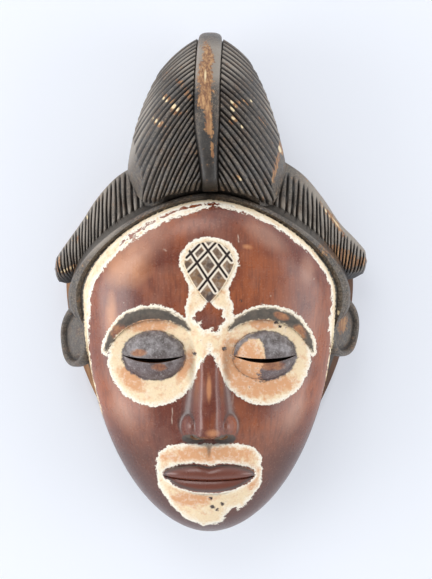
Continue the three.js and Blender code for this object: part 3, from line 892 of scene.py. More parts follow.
# %% Distances from painted edges
def inside(x, y, outline):
    """Distance in mm from a closed outline, positive inside it."""
    near, within = np.full(x.shape, np.inf), np.zeros(x.shape, bool)
    for (ax, ay), (bx, by) in zip(outline, np.roll(outline, -1, axis=0)):
        near = np.minimum(near, from_line(x, y, (ax, ay), (bx, by)))
        if ay != by:
            within ^= ((ay > y) != (by > y)) & (x < ax + (y - ay) * (bx - ax) / (by - ay))
    return np.where(within, near, -near)


def ring(cx, cy, rx, ry, power=2.0, turn=0.0):
    angle = np.linspace(0, 2 * np.pi, 60, endpoint=False)
    c, s = np.cos(angle), np.sin(angle)
    size = (np.abs(c) ** power + np.abs(s) ** power) ** (-1 / power)
    px, py, t = c * size * rx, s * size * ry, np.radians(turn)
    return np.stack([cx + px * np.cos(t) - py * np.sin(t), cy + px * np.sin(t) + py * np.cos(t)], axis=1)


def mirrored(half, y):
    return np.concatenate([np.stack([half, y], 1), np.stack([-half, y], 1)[::-1]])


edge_y = CHIN_Y + FACE_LENGTH * (0.5 - 0.5 * np.cos(np.linspace(0, np.pi, 90)))
face_outline = mirrored(face_half(edge_y), edge_y)
patch_y = np.linspace(SCAR_Y - SCAR_DOWN, SCAR_Y + SCAR_UP, 40)
patch_outline = mirrored(scar_half(patch_y), patch_y)


def outline_of(line):
    """A closed outline from the two long sides of a form, t = 0 and t = 1."""
    s = np.linspace(0, 1, 60)
    near, far = (np.stack(line(s, t), axis=1) for t in (0, 1))
    return np.concatenate([far, near[::-1]])


def lips_line(s, t):
    return lip_line(2 * t - 1, s, 1)


# %% [markdown]
# The areas below are drawn as plain outlines on the face: rings round the eyes and the mouth, a web
# between the brows, a patch on the chin and a strip along the hairline that splits in two on the
# forehead. Where outlines meet, the larger distance joins them and the smaller one cuts them back.

# %% Clay, charcoal and lips
x, y, z = points.astype(float)
from_edge = inside(x, y, face_outline)
patch = inside(x, y, patch_outline)
lip = inside(x, y, outline_of(lips_line))
brow = np.maximum(*(inside(x, y, outline_of(lambda s, t: brow_line(k, s, t))) for k in BOTH))
lid = np.maximum(*(inside(x, y, ring(k * EYE_X, EYE_Y, LID_ACROSS - 1, LID_ALONG - 0.5)) for k in BOTH))
nostril_shade = np.maximum(*(inside(x, y, ring(k * WING_X, NOSE_BASE - 1, 7, 3.4)) for k in BOTH))

STRIP_LEFT = [[-92, -1.5], [-82, 0.8], [-60, 1.3], [-38, 2.4], [-15, 6], [15, 8], [38, 8], [52, 6]]
STRIP_RIGHT = [[-78, -1.5], [-62, 0.8], [-42, 1.4], [-30, 4], [-5, 3.4], [25, 4.2], [52, 5]]
to_right = step(x, -12, 12)
strip_wide = through(STRIP_LEFT, y) * (1 - to_right) + through(STRIP_RIGHT, y) * to_right
strip = np.minimum(strip_wide - from_edge, from_edge + 0.7)
split = np.abs(from_edge - 0.5 * strip_wide - 0.3) - 0.5 * hill((x + 8) / 24) - 0.25 * hill((x + 45) / 12)
strip = np.where((np.abs(x + 8) < 24) | (np.abs(x + 45) < 12), np.minimum(strip, split), strip)

FOOT_Y = SCAR_Y - SCAR_DOWN
WEB = mirrored(
    np.array([7.0, 12, 15, 15, 12]),
    np.array([EYE_Y - 4, EYE_Y + 2, EYE_Y + 16, FOOT_Y - 3, FOOT_Y + 10]),
)
CHIN_PATCH = [
    [-31, MOUTH_Y - 3], [31, MOUTH_Y - 3], [29, MOUTH_Y - 13], [22, MOUTH_Y - 21], [11, MOUTH_Y - 23],
    [9, MOUTH_Y - 32], [-4, MOUTH_Y - 34.5], [-16, MOUTH_Y - 29], [-25, MOUTH_Y - 20], [-30, MOUTH_Y - 11],
]
clay_areas = [
    ring(-EYE_X, EYE_Y - 1, 30, 31), ring(EYE_X, EYE_Y - 1, 29.5, 30), WEB,
    ring(0, MOUTH_Y + 3.5, 33.5, 18.5, 4), CHIN_PATCH,
]
clay = np.max([inside(x, y, area) for area in clay_areas], axis=0)
clay = np.maximum(clay, np.minimum(brow + 2.2, 3))
clay = np.maximum(clay, np.minimum(patch + 3.2, 3))
clay = np.maximum(clay, strip)
STAR = [
    [0, FOOT_Y + 2], [3, -17], [9, -18], [7, -22], [11, -25], [6, -27], [5, -32],
    [1, -29], [-3, -31], [-6, -26], [-10, -23], [-8, -19], [-4, -18],
]
nose_bare = np.minimum(8, 0.55 * (EYE_Y + 4 - y)) - np.abs(x)
nose_bare = np.where(y > NOSE_BASE - 3, nose_bare, -9)
for bare in (inside(x, y, STAR), nose_bare, lip):
    clay = np.minimum(clay, -bare)
clay = np.where(z > edge_height(y) - 3, clay, -9)
rubbed_lid = inside(x, y, ring(EYE_X - 11, EYE_Y - 5, 9, 17, turn=-20))
# the charcoal's distance also holds painted shade round the nostrils
soot_and_nostril_shade = np.maximum(np.minimum(lid, -rubbed_lid), np.maximum(brow, nostril_shade))
print("clay covers", round(float((clay > 0).mean() * 100)), "% of the points")

# %% [markdown]
# Worn, stained and torn places are drawn as ovals. The keel and the lobes' ends, which stand
# proud, have lost their black, and small chips show cream wood. Other parts of the hair are paler or
# darker than the rest. The clay is stained by oil round the eyes and over the mouth, and it has come
# away in jagged flakes between the brows and at the chin. Pits and nicks are single small marks.

# %% Places drawn as ovals
def ovals(places):
    """1 in the middle of each oval, 0 outside. Each has its middle, half sizes and turn in degrees."""
    most = np.zeros(count)
    for cx, cy, half_long, half_wide, turn in places:
        c, s = np.cos(np.radians(turn)), np.sin(np.radians(turn))
        along, across = (x - cx) * c + (y - cy) * s, (y - cy) * c - (x - cx) * s
        most = np.maximum(most, hill(np.hypot(along / half_long, across / half_wide)))
    return most


WORN_HAIR = [
    [-2.6, 128, 26, 8, 88], [-1, 144, 16, 6, 92], [-3, 113, 11, 7, 90], [-1, 118, 38, 4, 90],
    [0.3, 98, 17, 3.4, 92], [2, 82, 9, 1.6, 95],
    [-19, 127, 6, 3, -42], [-26, 116, 9, 4, -42], [-13.5, 118, 8, 3.2, -60], [-21, 108, 7, 4, -45],
    [-32, 100, 10, 3.2, -39], [17, 112, 7, 3, 45], [15, 101, 7, 3.4, 50],
    [24, 114, 6, 2.4, -35], [35, 103, 8, 1.8, -45], [19, 65, 5, 1.8, -25], [43, 75, 20, 2.6, 75],
    [47, 88, 7, 2.6, 100], [-101, 12, 9, 3.6, 80], [-92, 9, 11, 2.6, 22], [-88, 28, 5, 1.4, 85],
    [80, 44, 26, 3, -52], [86, 18, 24, 10, -22], [102, 14, 7, 5, 0], [88, -29, 9, 5.4, 75],
]
CHIPS = [
    [-21.3, 109.6, 5.4, 2.6, -45], [-28.4, 116, 5, 1.4, -42], [-34, 102.4, 8, 1.3, -39],
    [14.2, 112.7, 2.8, 1.8, 45], [15, 108.6, 4, 2.6, 45], [14.6, 101.8, 3, 2, 50],
    [20.8, 97.6, 2.2, 1.5, 45], [46, 87, 4, 1.6, 100], [-81.4, 43.2, 2.2, 1.8, 0],
    [26, 115, 2.2, 1.1, 45], [20, 64.5, 3, 1.4, 45], [-2, 126, 12, 0.9, 92],
    [81, 43, 20, 0.9, -52], [-96, 7.8, 5, 1.4, 22], [-91.5, 9.6, 2.6, 1.3, 25],
    [-86, 12.6, 2.4, 1.2, 30], [76, 23, 3, 1, 80], [84, -20.5, 3, 0.8, 90],
]
WORN_FACE = [
    [24, 21.5, 5, 2.5, -10], [-50, 10, 26, 20, 40], [-62, -20, 22, 6, 90], [2, NOSE_BASE + 4, 7, 4, 0],
    [-EYE_X - 9, EYE_Y + 2, 9, 4, 5], [-EYE_X + 4, EYE_Y - 7, 8, 4, 0],
    [EYE_X + 3, EYE_Y - 5.5, 16, 6, -5], [-EYE_X - 22, EYE_Y + 15, 9, 7, 50],
    [EYE_X + 22, EYE_Y + 15, 9, 6, -50], [EYE_X + 10, EYE_Y + 25, 9, 4, -20],
    [30, -70, 10, 6, 0], [0, -66, 14, 2.4, 90],
]
STAINED = [
    [EYE_X - 12, EYE_Y - 7, 32, 24, -55], [EYE_X - 2, EYE_Y + 20, 14, 5, 0],
    [EYE_X + 6, EYE_Y - 19, 22, 9, 10], [-EYE_X - 14, EYE_Y - 15, 15, 8, -40],
    [-EYE_X - 4, EYE_Y + 20, 26, 8, 0], [-EYE_X + 20, EYE_Y - 6, 16, 6, 70],
    [0, MOUTH_Y + 14, 44, 12, 0], [27, MOUTH_Y, 8, 14, 0], [-12, MOUTH_Y - 15, 20, 8, 0],
]
DARK = [[0, 76, 46, 11, 90], [-8, 112, 10, 6, 90]]
# paler places on the hair, partly painted sheen, and painted sheen on the forehead and cheeks
PALE_AND_SHEEN = [
    [-90, 42, 62, 26, 48], [92, 42, 64, 26, -48], [-50, 100, 46, 14, 68],
    [48, 104, 40, 12, -65], [0, 140, 22, 34, 90], [-64, 34, 42, 7, 45], [62, 38, 40, 7, -38],
    [-42, 24, 28, 17, 38], [36, 28, 22, 9, -36], [62, 8, 14, 7, 90], [-56, -84, 20, 10, -62],
    [55, -84, 18, 9, 62],
]
TORN = [
    [0, -25, 15, 11, 0], [16, MOUTH_Y - 26, 16, 12, 20], [0, EYE_Y + 2, 8, 10, 0],
    [EYE_X - 6, EYE_Y - 10, 14, 16, 0], [-50, 30, 20, 12, 45], [-EYE_X - 26, EYE_Y + 2, 12, 5, 80],
]
PITS = [
    [42, -25.5, 1.2], [44.5, -28, 0.9], [61, -33, 1.1], [9.5, -42, 1.3], [-9, -45, 1.2], [-52, -21, 0.8],
    [1, MOUTH_Y - 14, 1], [8, MOUTH_Y - 18, 1.2], [2, MOUTH_Y - 20, 1.3], [5, MOUTH_Y - 22, 1],
    [20, -12, 0.8],
]  # middle and radius
NICKS = [
    [[18, 29], [18.4, 24.5]], [[-48, 28], [-47, 26]], [[-28, 20], [-26.5, 19]],
    [[-23, -79], [-23.5, -90]], [[15, -70], [14.5, -77]],
]
pit = np.min([np.hypot(x - px, y - py) - size for px, py, size in PITS], axis=0)
nick = np.minimum(np.min([from_line(x, y, start, end) for start, end in NICKS], axis=0), 9)
in_front = z > 20

for name, values in {
    "clay": clay, "soot_and_nostril_shade": soot_and_nostril_shade, "lip": lip, "lid": lid, "patch": patch, "from_edge": from_edge,
    "cut": np.minimum(cut_distance(x, y), 9), "pit": pit, "nick": nick, "sunk": sunk,
    "worn": ovals(WORN_HAIR + WORN_FACE) * in_front, "chip": ovals(CHIPS) * in_front,
    "torn": np.maximum(ovals(TORN), 0.2 * step(strip, -4, -1)),
    "stained": ovals(STAINED), "dark": ovals(DARK), "pale_and_sheen": ovals(PALE_AND_SHEEN),
}.items():
    keep(head, name, values)
mesh.attributes["valley"].data.foreach_set("value", valley.astype(np.float32))
print("attributes:", [kind.name for kind in mesh.attributes if kind.data_type == "FLOAT"])

# %% [markdown]
# ## Colours and nodes
# Colours are written as the hex values that a paint chart or a photograph shows, and turned to the
# linear values that light is reckoned in.

# %% Helpers for materials
def rgb(code):
    shown = [int(code[i:i + 2], 16) / 255 for i in (1, 3, 5)]
    return (*(c / 12.92 if c <= 0.04045 else ((c + 0.055) / 1.055) ** 2.4 for c in shown), 1)


def node(tree, kind, sockets=(), **settings):
    """Add a node with its settings. Sockets take numbers, colours or other nodes.

    A Mix node mixes colours, unless its settings say otherwise.
    """
    made = tree.nodes.new("ShaderNode" + kind)
    if kind == "Mix":
        made.data_type = "RGBA"
    for name, value in settings.items():
        setattr(made, name, value)
    live = [socket for socket in made.inputs if socket.enabled]
    named = sockets.items() if isinstance(sockets, dict) else enumerate(sockets)
    for name, value in named:
        socket = live[name] if isinstance(name, int) else next(s for s in live if s.name == name)
        if isinstance(value, bpy.types.Node):
            value = next(s for s in value.outputs if s.enabled)
        if isinstance(value, bpy.types.NodeSocket):
            tree.links.new(value, socket)
        else:
            socket.default_value = value
    return made


def begin(surface):
    """Empty a material and give it a shader and coordinates in millimetres."""
    surface.use_nodes = True
    tree = surface.node_tree
    tree.nodes.clear()
    shader = node(tree, "BsdfPrincipled")
    node(tree, "OutputMaterial", [shader])
    place = node(tree, "TexCoord").outputs["Object"]
    mm = node(tree, "Mapping", {"Vector": place, "Scale": (1000, 1000, 1000)})
    grain = node(tree, "Mapping", {"Vector": place, "Scale": (1000, 55, 1000)})
    return tree, shader, mm, grain


TIMES, SOFT = {"operation": "MULTIPLY"}, {"interpolation_type": "SMOOTHSTEP"}
print("red earth:", [round(part, 3) for part in rgb("#6b2f1d")])

# %% [markdown]
# ## Oiled red wood with clay and charcoal
# The face is light wood rubbed with red earth and palm oil until it shines. Pictures could be laid
# on it, but noise in millimetres stays sharp at any distance. So the finish is built in layers: wood,
# clay and charcoal in the order in which they were put on, and last of all nicks and painted shade
# in the hollows.

# %% Face: what the layers are made from
tree, shader, mm, grain = begin(surfaces[FACE])
paint = {name: node(tree, "Attribute", attribute_name=name).outputs["Fac"] for name in (
    "clay", "soot_and_nostril_shade", "lip", "lid", "patch", "cut", "from_edge", "worn", "stained", "torn", "pit", "nick",
    "sunk", "pale_and_sheen",
)}
streak, broad, cloud, smudge, ragged, flake, speck = (
    node(tree, "TexNoise", {"Vector": where, "Scale": scale, "Detail": detail, "Roughness": rough})
    for where, scale, detail, rough in (
        (grain, 0.6, 4, 0.6), (mm, 0.024, 3, 0.55), (mm, 0.045, 4, 0.6), (mm, 0.09, 3, 0.5),
        (mm, 0.22, 6, 0.68), (mm, 0.34, 5, 0.7), (mm, 0.9, 3, 0.6),
    )
)
height_on_face = node(tree, "SeparateXYZ", [mm]).outputs["Y"]
print("face:", len(paint), "attributes and 7 noises")

# %% [markdown]
# Red earth lies thicker in some places, and dust dulls others. Dark lines follow the grain, and worn
# places show the light wood. A painted sheen lightens parts of the forehead and cheeks, and painted
# shade darkens the jaw near its lower outline.

# %% Face: red wood
tone = node(tree, "MapRange", [broad, 0.4, 0.6, 0, 1])
wood = node(tree, "Mix", [tone, rgb("#6b2f1d"), rgb("#9a522d")])
dust = node(tree, "MapRange", [cloud, 0.48, 0.68, 0, 0.5])
lines = node(tree, "MapRange", [streak, 0.44, 0.7, 0, 0.5])
rubbed = node(tree, "Math", [paint["worn"], cloud], **TIMES)
rubbed = node(tree, "MapRange", [rubbed, 0.08, 0.45, 0, 0.85])
# painted sheen: the pale ovals lighten the forehead and cheeks like a broad highlight
painted_sheen = node(tree, "MapRange", [paint["pale_and_sheen"], 0, 0.8, 0, 0.42])
# painted shade: darker near the outline of the lower jaw, where it turns under
down = node(tree, "MapRange", [height_on_face, -78, -112, 0, 1])
side = node(tree, "MapRange", [paint["from_edge"], 40, 8, 0, 0.95])
side = node(tree, "Math", [down, side], **TIMES)
dry_grain = node(tree, "MapRange", [speck, 0.56, 0.72, 0, 0.22])
dots = node(tree, "TexVoronoi", {"Vector": mm, "Scale": 0.055})
dots = node(tree, "MapRange", [dots.outputs["Distance"], 0.018, 0.034, 0.6, 0])
for mask, code in (
    (dust, "#8e5d4b"), (lines, "#4c2219"), (rubbed, "#c28257"), (painted_sheen, "#c3937c"), (side, "#4a2012"),
    (dry_grain, "#c79a80"), (dots, "#d8c0aa"),
):
    wood = node(tree, "Mix", [mask, wood, rgb(code)])

# %% [markdown]
# The clay is dry and chalky. Its edge wanders by about a millimetre, and by up to three where it was
# torn off. It is white at the edge and cream inside, where the coat is thicker, and oil from the
# wood has stained it orange in places.

# %% Face: the clay's edge
calm = node(tree, "MapRange", [speck, 0.3, 0.7, -0.7, 0.7])
rag = node(tree, "MapRange", [ragged, 0.3, 0.7, -2.4, 2.4])
loose = node(tree, "Math", [paint["torn"], 0.4], operation="ADD")
rag = node(tree, "Math", [rag, loose], **TIMES)
shift = node(tree, "Math", [calm, rag], operation="ADD")
clay_depth = node(tree, "Math", [paint["clay"], shift], operation="ADD")
clay_mask = node(tree, "MapRange", [clay_depth, -0.12, 0.18, 0, 1], **SOFT)
flaked = node(tree, "Math", [paint["torn"], 0.05, flake], operation="MULTIPLY_ADD")
flaked = node(tree, "MapRange", [flaked, 0.685, 0.705, 0, 1])
pit_depth = node(tree, "Math", [paint["pit"], calm], operation="ADD")
pitted = node(tree, "MapRange", [pit_depth, -0.2, 0.3, 1, 0])
gone = node(tree, "Math", [flaked, pitted], operation="MAXIMUM")
clay_mask = node(tree, "Math", [clay_mask, gone], operation="SUBTRACT", use_clamp=True)
wood = node(tree, "Mix", [pitted, wood, rgb("#3b2a23")])

# %% Face: the clay's colours
inner = node(tree, "MapRange", [clay_depth, 0.6, 3.6, 0, 1])
clay_colour = node(tree, "Mix", [inner, rgb("#fbf4e4"), rgb("#f1d9b3")])
rim = node(tree, "MapRange", [paint["from_edge"], 0.3, 2.6, 0.8, 0])
soak = node(tree, "MapRange", [ragged, 0.3, 0.7, -0.4, 0.4])
soak = node(tree, "Math", [paint["stained"], soak], operation="ADD")
soak = node(tree, "MapRange", [soak, 0.05, 0.55, 0, 0.92])
soak = node(tree, "Math", [inner, soak], **TIMES)
fleck = node(tree, "MapRange", [flake, 0.52, 0.62, 0, 0.35])
scuff = node(tree, "MapRange", [speck, 0.52, 0.75, 0, 0.45])
for mask, code in ((rim, "#ebcfa2"), (soak, "#d99b6c"), (fleck, "#fbf1df"), (scuff, "#c9ad88")):
    clay_colour = node(tree, "Mix", [mask, clay_colour, rgb(code)])

# %% [markdown]
# The lips keep the dark wood, greyer towards their edges. Charcoal lies over the clay on the brows
# and the lids. It is black-brown on the brows, and on the lids it is rubbed grey and dusted, with
# painted shade towards the bottom of each lid. The same black-brown is painted round the nostrils as
# shade.

# %% Face: lips
lip_mask = node(tree, "MapRange", [paint["lip"], 0.5, 0.9, 0, 1], **SOFT)
lip_edge = node(tree, "MapRange", [paint["lip"], 0.8, 3.2, 1, 0])
lip_colour = node(tree, "Mix", [lip_edge, rgb("#6e3a2b"), rgb("#4a403d")])
wood = node(tree, "Mix", [lip_mask, wood, lip_colour])
colour = node(tree, "Mix", [clay_mask, wood, clay_colour])

# %% Face: charcoal
soot_shift = node(tree, "MapRange", [speck, 0.25, 0.75, -0.4, 0.4])
soot_shift = node(tree, "Math", [soot_shift, rag], operation="ADD")
soot_and_shade_depth = node(tree, "Math", [paint["soot_and_nostril_shade"], soot_shift], operation="ADD")
soot_and_shade_mask = node(tree, "MapRange", [soot_and_shade_depth, -0.6, 0.8, 0, 0.97], **SOFT)
on_lid = node(tree, "MapRange", [paint["lid"], -0.5, 0.5, 0, 1])
mottle = node(tree, "MapRange", [ragged, 0.35, 0.65, 0, 1])
brow_colour = node(tree, "Mix", [mottle, rgb("#2c2723"), rgb("#5a5148")])
lid_colour = node(tree, "Mix", [mottle, rgb("#4d4647"), rgb("#a09b9d")])
smudge = node(tree, "MapRange", [smudge, 0.45, 0.6, 0, 0.75])
# painted shade: each lid darker towards its bottom
lower = node(tree, "MapRange", [height_on_face, EYE_Y + 3, EYE_Y - 9, 0, 0.6])
for mask, code in ((smudge, "#3a2e2f"), (lower, "#503a3f")):
    lid_colour = node(tree, "Mix", [mask, lid_colour, rgb(code)])
soot_and_shade_colour = node(tree, "Mix", [on_lid, brow_colour, lid_colour])
ash = node(tree, "MapRange", [speck, 0.55, 0.75, 0, 0.5])
ash = node(tree, "Math", [ash, on_lid], **TIMES)
soot_and_shade_colour = node(tree, "Mix", [ash, soot_and_shade_colour, rgb("#c4c0c0")])
bare = node(tree, "Math", [paint["worn"], flake], **TIMES)
bare = node(tree, "MapRange", [bare, 0.14, 0.32, 0, 0.9])
bare_colour = node(tree, "Mix", [mottle, rgb("#6a3426"), rgb("#b87e50")])
soot_and_shade_colour = node(tree, "Mix", [bare, soot_and_shade_colour, bare_colour])
colour = node(tree, "Mix", [soot_and_shade_mask, colour, soot_and_shade_colour])

# %% [markdown]
# On the cut patch the cuts are dark and have clay along both edges, and the small fields between
# them are dark or bare wood. The cut's distance is an attribute, so the colours follow the carving.

# %% Face: cut patch, nicks and painted shade in the hollows
field = node(tree, "TexVoronoi", {"Vector": mm, "Scale": 0.2})
field_tone = node(tree, "SeparateColor", [field.outputs["Color"]])
field_colour = node(tree, "Mix", [field_tone.outputs[0], rgb("#45362f"), rgb("#8c6640")])
powder = node(tree, "MapRange", [flake, 0.48, 0.62, 0, 0.5])
cut_edge = node(tree, "MapRange", [paint["cut"], 1.5, 2.3, 1, 0], **SOFT)
cut_deep = node(tree, "MapRange", [paint["cut"], 0.5, 0.95, 1, 0], **SOFT)
for mask, code in ((powder, "#a89a8b"), (cut_edge, "#e9dcc8"), (cut_deep, "#2a1912")):
    field_colour = node(tree, "Mix", [mask, field_colour, rgb(code)])
patch_mask = node(tree, "MapRange", [paint["patch"], -0.1, 0.4, 0, 1], **SOFT)
colour = node(tree, "Mix", [patch_mask, colour, field_colour])
nicked = node(tree, "MapRange", [paint["nick"], 0.2, 0.6, 0.5, 0])
# painted shade: the hollows are darkened by how sunk each point is
hollow_shade = node(tree, "MapRange", [paint["sunk"], 0.15, 0.7, 0, 0.65])
for mask, code in ((nicked, "#e3cfbc"), (hollow_shade, "#2a1a14")):
    colour = node(tree, "Mix", [mask, colour, rgb(code)])
tree.links.new(colour.outputs[2], shader.inputs["Base Color"])

# %% [markdown]
# Oiled wood shines, charcoal less, and clay not at all. The clay and the grain are so thin that they
# are bump and not shape.

# %% Face: gloss and bump
dry = node(tree, "Math", [soot_and_shade_mask, 0.4], **TIMES)
dry = node(tree, "Math", [clay_mask, dry], operation="MAXIMUM")
rough = node(tree, "MapRange", [cloud, 0.3, 0.7, 0.2, 0.36])
rough = node(tree, "Mix", [dry, rough, 0.8], data_type="FLOAT")
tree.links.new(rough.outputs[0], shader.inputs["Roughness"])
height = node(tree, "Math", [streak, 0.25], **TIMES)
height = node(tree, "Math", [clay_mask, height], operation="ADD")
crust = node(tree, "Math", [flake, clay_mask], **TIMES)
height = node(tree, "Math", [height, crust], operation="ADD")
bump = node(tree, "Bump", {"Height": height, "Strength": 0.6, "Distance": 0.0004})
tree.links.new(bump.outputs[0], shader.inputs["Normal"])
shader.inputs["Specular IOR Level"].default_value = 0.75
print("face material:", len(tree.nodes), "nodes")

# %% [markdown]
# ## Blackened wood
# The hair was charred and rubbed with soot and oil. Soot lies thick and black in the cuts, the backs
# of the locks have gone grey-brown, and bare wood shows where they have been knocked. The pale places
# are partly painted sheen, and the hollows are darkened as painted shade.

# %% Hair: charcoal
tree, shader, mm, grain = begin(surfaces[HAIR])
paint = {name: node(tree, "Attribute", attribute_name=name).outputs["Fac"] for name in (
    "valley", "worn", "chip", "dark", "pale_and_sheen", "sunk", "clay",
)}
patchy, cloud, speck, fine, streak = (
    node(tree, "TexNoise", {"Vector": where, "Scale": scale, "Detail": detail, "Roughness": rough})
    for where, scale, detail, rough in (
        (mm, 0.035, 4, 0.6), (mm, 0.13, 4, 0.6), (mm, 0.6, 4, 0.65), (mm, 1.3, 2, 0.6),
        (grain, 0.7, 4, 0.6),
    )
)

# browner where the oil went in, grey on the locks' backs where hands have rubbed it, and paler in
# the pale places, which are partly painted sheen
tone = node(tree, "MapRange", [patchy, 0.4, 0.6, 0, 1])
black = node(tree, "Mix", [tone, rgb("#3a332d"), rgb("#454240")])
warm = node(tree, "MapRange", [cloud, 0.45, 0.65, 0, 0.6])
raised = node(tree, "MapRange", [paint["valley"], 0.03, 0.3, 1, 0])
rubbed = node(tree, "MapRange", [speck, 0.46, 0.6, 0, 0.65])
pale_and_sheen = node(tree, "MapRange", [paint["pale_and_sheen"], 0, 0.6, 0, 0.9])
fleck = node(tree, "MapRange", [fine, 0.54, 0.68, 0, 0.6])
rubbed, pale_and_sheen, fleck = (node(tree, "Math", [mask, raised], **TIMES) for mask in (rubbed, pale_and_sheen, fleck))
dark = node(tree, "MapRange", [paint["dark"], 0, 0.6, 0, 0.85])
for mask, code in (
    (warm, "#523d2c"), (rubbed, "#786c5d"), (pale_and_sheen, "#978d81"), (fleck, "#9d9183"), (dark, "#1a1613"),
):
    black = node(tree, "Mix", [mask, black, rgb(code)])

# %% [markdown]
# Bare wood shows on worn places, with its grain, and fresh cream wood where a splinter has gone.
# Both stay on the backs of the locks, because a knock never reaches the bottom of a cut.

# %% Hair: wear and chips
patches = node(tree, "Math", [speck, cloud], operation="ADD")
patches = node(tree, "MapRange", [patches, 0.7, 1.3, -0.5, 0.5])
worn = node(tree, "Math", [paint["worn"], patches], operation="ADD")
worn = node(tree, "MapRange", [worn, 0.26, 0.62, 0, 0.95], **SOFT)
worn_mask = node(tree, "Math", [worn, raised], **TIMES)
bare = node(tree, "MapRange", [streak, 0.42, 0.72, 0, 1])
bare = node(tree, "Mix", [bare, rgb("#7d4f2c"), rgb("#cf9f69")])
colour = node(tree, "Mix", [worn_mask, black, bare])
chip = node(tree, "Math", [paint["chip"], raised], **TIMES)
chip = node(tree, "MapRange", [chip, 0.2, 0.5, 0, 0.9])
colour = node(tree, "Mix", [chip, colour, rgb("#f3ddb0")])

# %% Hair: soot in the cuts, painted shade in the hollows, and clay smeared beside the hairline
narrow = node(tree, "Math", [paint["pale_and_sheen"], -0.24, paint["valley"]], operation="MULTIPLY_ADD")
deep = node(tree, "MapRange", [narrow, 0.08, 0.62, 0, 0.95])
# painted shade: the hollows are darkened by how sunk each point is
hollow_shade = node(tree, "MapRange", [paint["sunk"], 0.15, 1.0, 0, 0.7])
deep = node(tree, "Math", [deep, hollow_shade], operation="MAXIMUM")
colour = node(tree, "Mix", [deep, colour, rgb("#130f0c")])
shift = node(tree, "MapRange", [speck, 0.25, 0.75, -1.3, 0.3])
shift = node(tree, "Math", [paint["clay"], shift], operation="ADD")
smear = node(tree, "MapRange", [shift, -0.1, 0.2, 0, 1], **SOFT)
colour = node(tree, "Mix", [smear, colour, rgb("#ecd9b6")])
tree.links.new(colour.outputs[2], shader.inputs["Base Color"])
rough = node(tree, "MapRange", [speck, 0.3, 0.7, 0.36, 0.56])
tree.links.new(rough.outputs[0], shader.inputs["Roughness"])
height = node(tree, "Math", [streak, speck], operation="ADD")
bump = node(tree, "Bump", {"Height": height, "Strength": 0.5, "Distance": 0.0005})
tree.links.new(bump.outputs[0], shader.inputs["Normal"])
shader.inputs["Specular IOR Level"].default_value = 0.6
print("hair material:", len(tree.nodes), "nodes")

# %% [markdown]
# ## Bare wood
# Behind, the adze left the wood as it was. It has browned in patches with age, and the right side is
# the darkest.

# %% Bare wood material
tree, shader, mm, grain = begin(surfaces[BARE])
streak = node(tree, "TexNoise", {"Vector": grain, "Scale": 0.5, "Detail": 5, "Roughness": 0.6})
patchy = node(tree, "TexNoise", {"Vector": mm, "Scale": 0.05, "Detail": 3, "Roughness": 0.5})
tone = node(tree, "MapRange", [streak, 0.3, 0.7, 0, 1])
wood = node(tree, "Mix", [tone, rgb("#7a5236"), rgb("#a87b50")])
dark = node(tree, "MapRange", [patchy, 0.4, 0.65, 0, 0.7])
wood = node(tree, "Mix", [dark, wood, rgb("#4c3325")])
right = node(tree, "SeparateXYZ", [mm]).outputs["X"]
right = node(tree, "MapRange", [right, 30, 80, 0, 0.75])
wood = node(tree, "Mix", [right, wood, rgb("#3e2219")])
tree.links.new(wood.outputs[2], shader.inputs["Base Color"])
shader.inputs["Roughness"].default_value = 0.7
adze = node(tree, "TexVoronoi", {"Vector": mm, "Scale": 0.06}, feature="SMOOTH_F1")
marks = node(tree, "Math", [streak, 0.3, adze.outputs["Distance"]], operation="MULTIPLY_ADD")
bump = node(tree, "Bump", {"Height": marks, "Strength": 0.8, "Distance": 0.0015})
tree.links.new(bump.outputs[0], shader.inputs["Normal"])

# %% [markdown]
# ## Floor, light and camera
# The mask lies on a white sheet. The sheet glows like a light table all round the mask, because
# light alone would leave it grey where the mask is lit well.

# %% Floor
bpy.ops.mesh.primitive_plane_add(size=8, location=(0, 0, -0.5 * MM))
floor = bpy.context.object
floor.name = "floor"
paper = bpy.data.materials.new("white_paper")
floor.data.materials.append(paper)
tree, shader, mm, _ = begin(paper)
shader.inputs["Base Color"].default_value = rgb("#c2c4c8")
shader.inputs["Roughness"].default_value = 0.9
shader.inputs["Emission Color"].default_value = rgb("#eef3ff")
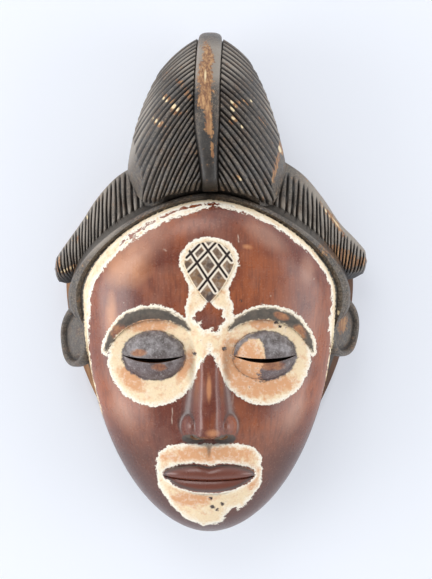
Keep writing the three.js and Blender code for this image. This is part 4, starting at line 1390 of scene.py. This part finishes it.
# the sheet glows all round the mask, but not in the dark under it
UNDER_X, UNDER_Y = 92, 106  # half sizes of the oval where it stays dark
oval = {"Location": (0, 0.32, 0), "Scale": (1 / UNDER_X, 1 / UNDER_Y, 0)}
reach = node(tree, "Mapping", {"Vector": mm, **oval})
reach = node(tree, "VectorMath", [reach], operation="LENGTH").outputs["Value"]
glow = node(tree, "MapRange", [reach, 0.8, 1.0, 0, 0.385])
tree.links.new(glow.outputs[0], shader.inputs["Emission Strength"])
print("sheet dark within", 2 * UNDER_X, "by", 2 * UNDER_Y, "mm")

# %% [markdown]
# The room is pale, with a darker ceiling behind the camera. Two wide lamps stand low at the sides,
# the left one stronger, and a third shines from beyond the crest. Low light from the sides shows the
# carving, which light from the camera would flatten.

# %% Light
world = bpy.data.worlds.new("soft_room")
bpy.context.scene.world = world
world.use_nodes = True
tree = world.node_tree
sky = tree.nodes["Background"]
sky.inputs["Color"].default_value = (0.94, 0.965, 1, 1)
# pale walls all round, and a darker ceiling behind the camera
height = node(tree, "SeparateXYZ", [node(tree, "TexCoord").outputs["Generated"]]).outputs["Z"]
tree.links.new(node(tree, "MapRange", [height, 0.45, 0.95, 1.1, 0.4]).outputs[0], sky.inputs["Strength"])
for name, place, size, power in (
    ("key", (-1.2, -0.15, 0.6), 0.9, 8),
    ("fill", (1.2, -0.2, 0.6), 0.9, 5),
    ("top", (-0.3, 0.9, 1.3), 0.8, 5),
):
    bpy.ops.object.light_add(type="AREA", location=place)
    lamp = bpy.context.object
    lamp.name, lamp.data.size, lamp.data.energy = name, size, power
    aim = -np.array(place)
    lamp.rotation_euler = (-np.arctan2(-aim[1], -aim[2]), -np.arctan2(aim[0], -aim[2]), 0)

# %% [markdown]
# The camera looks straight down on the mask, from as far as a portrait lens needs, so nothing is
# drawn larger because it stands proud.

# %% Camera
IMAGE = (432, 579)
PIXEL = 0.6653 * MM  # the size of one pixel at the height of the mask's outline
OUTLINE_Z = 0.04
LENS, SENSOR = 85, 36
distance = IMAGE[1] * PIXEL * LENS / SENSOR
bpy.ops.object.camera_add(location=(0.0043, -0.005, OUTLINE_Z + distance), rotation=(0, 0, 0))
camera = bpy.context.object
camera.data.lens, camera.data.sensor_width = LENS, SENSOR
bpy.context.scene.camera = camera
bpy.context.scene.view_settings.view_transform = "Standard"
print("camera", round(distance, 3), "m above the outline;", bpy.context.scene.view_settings.look)
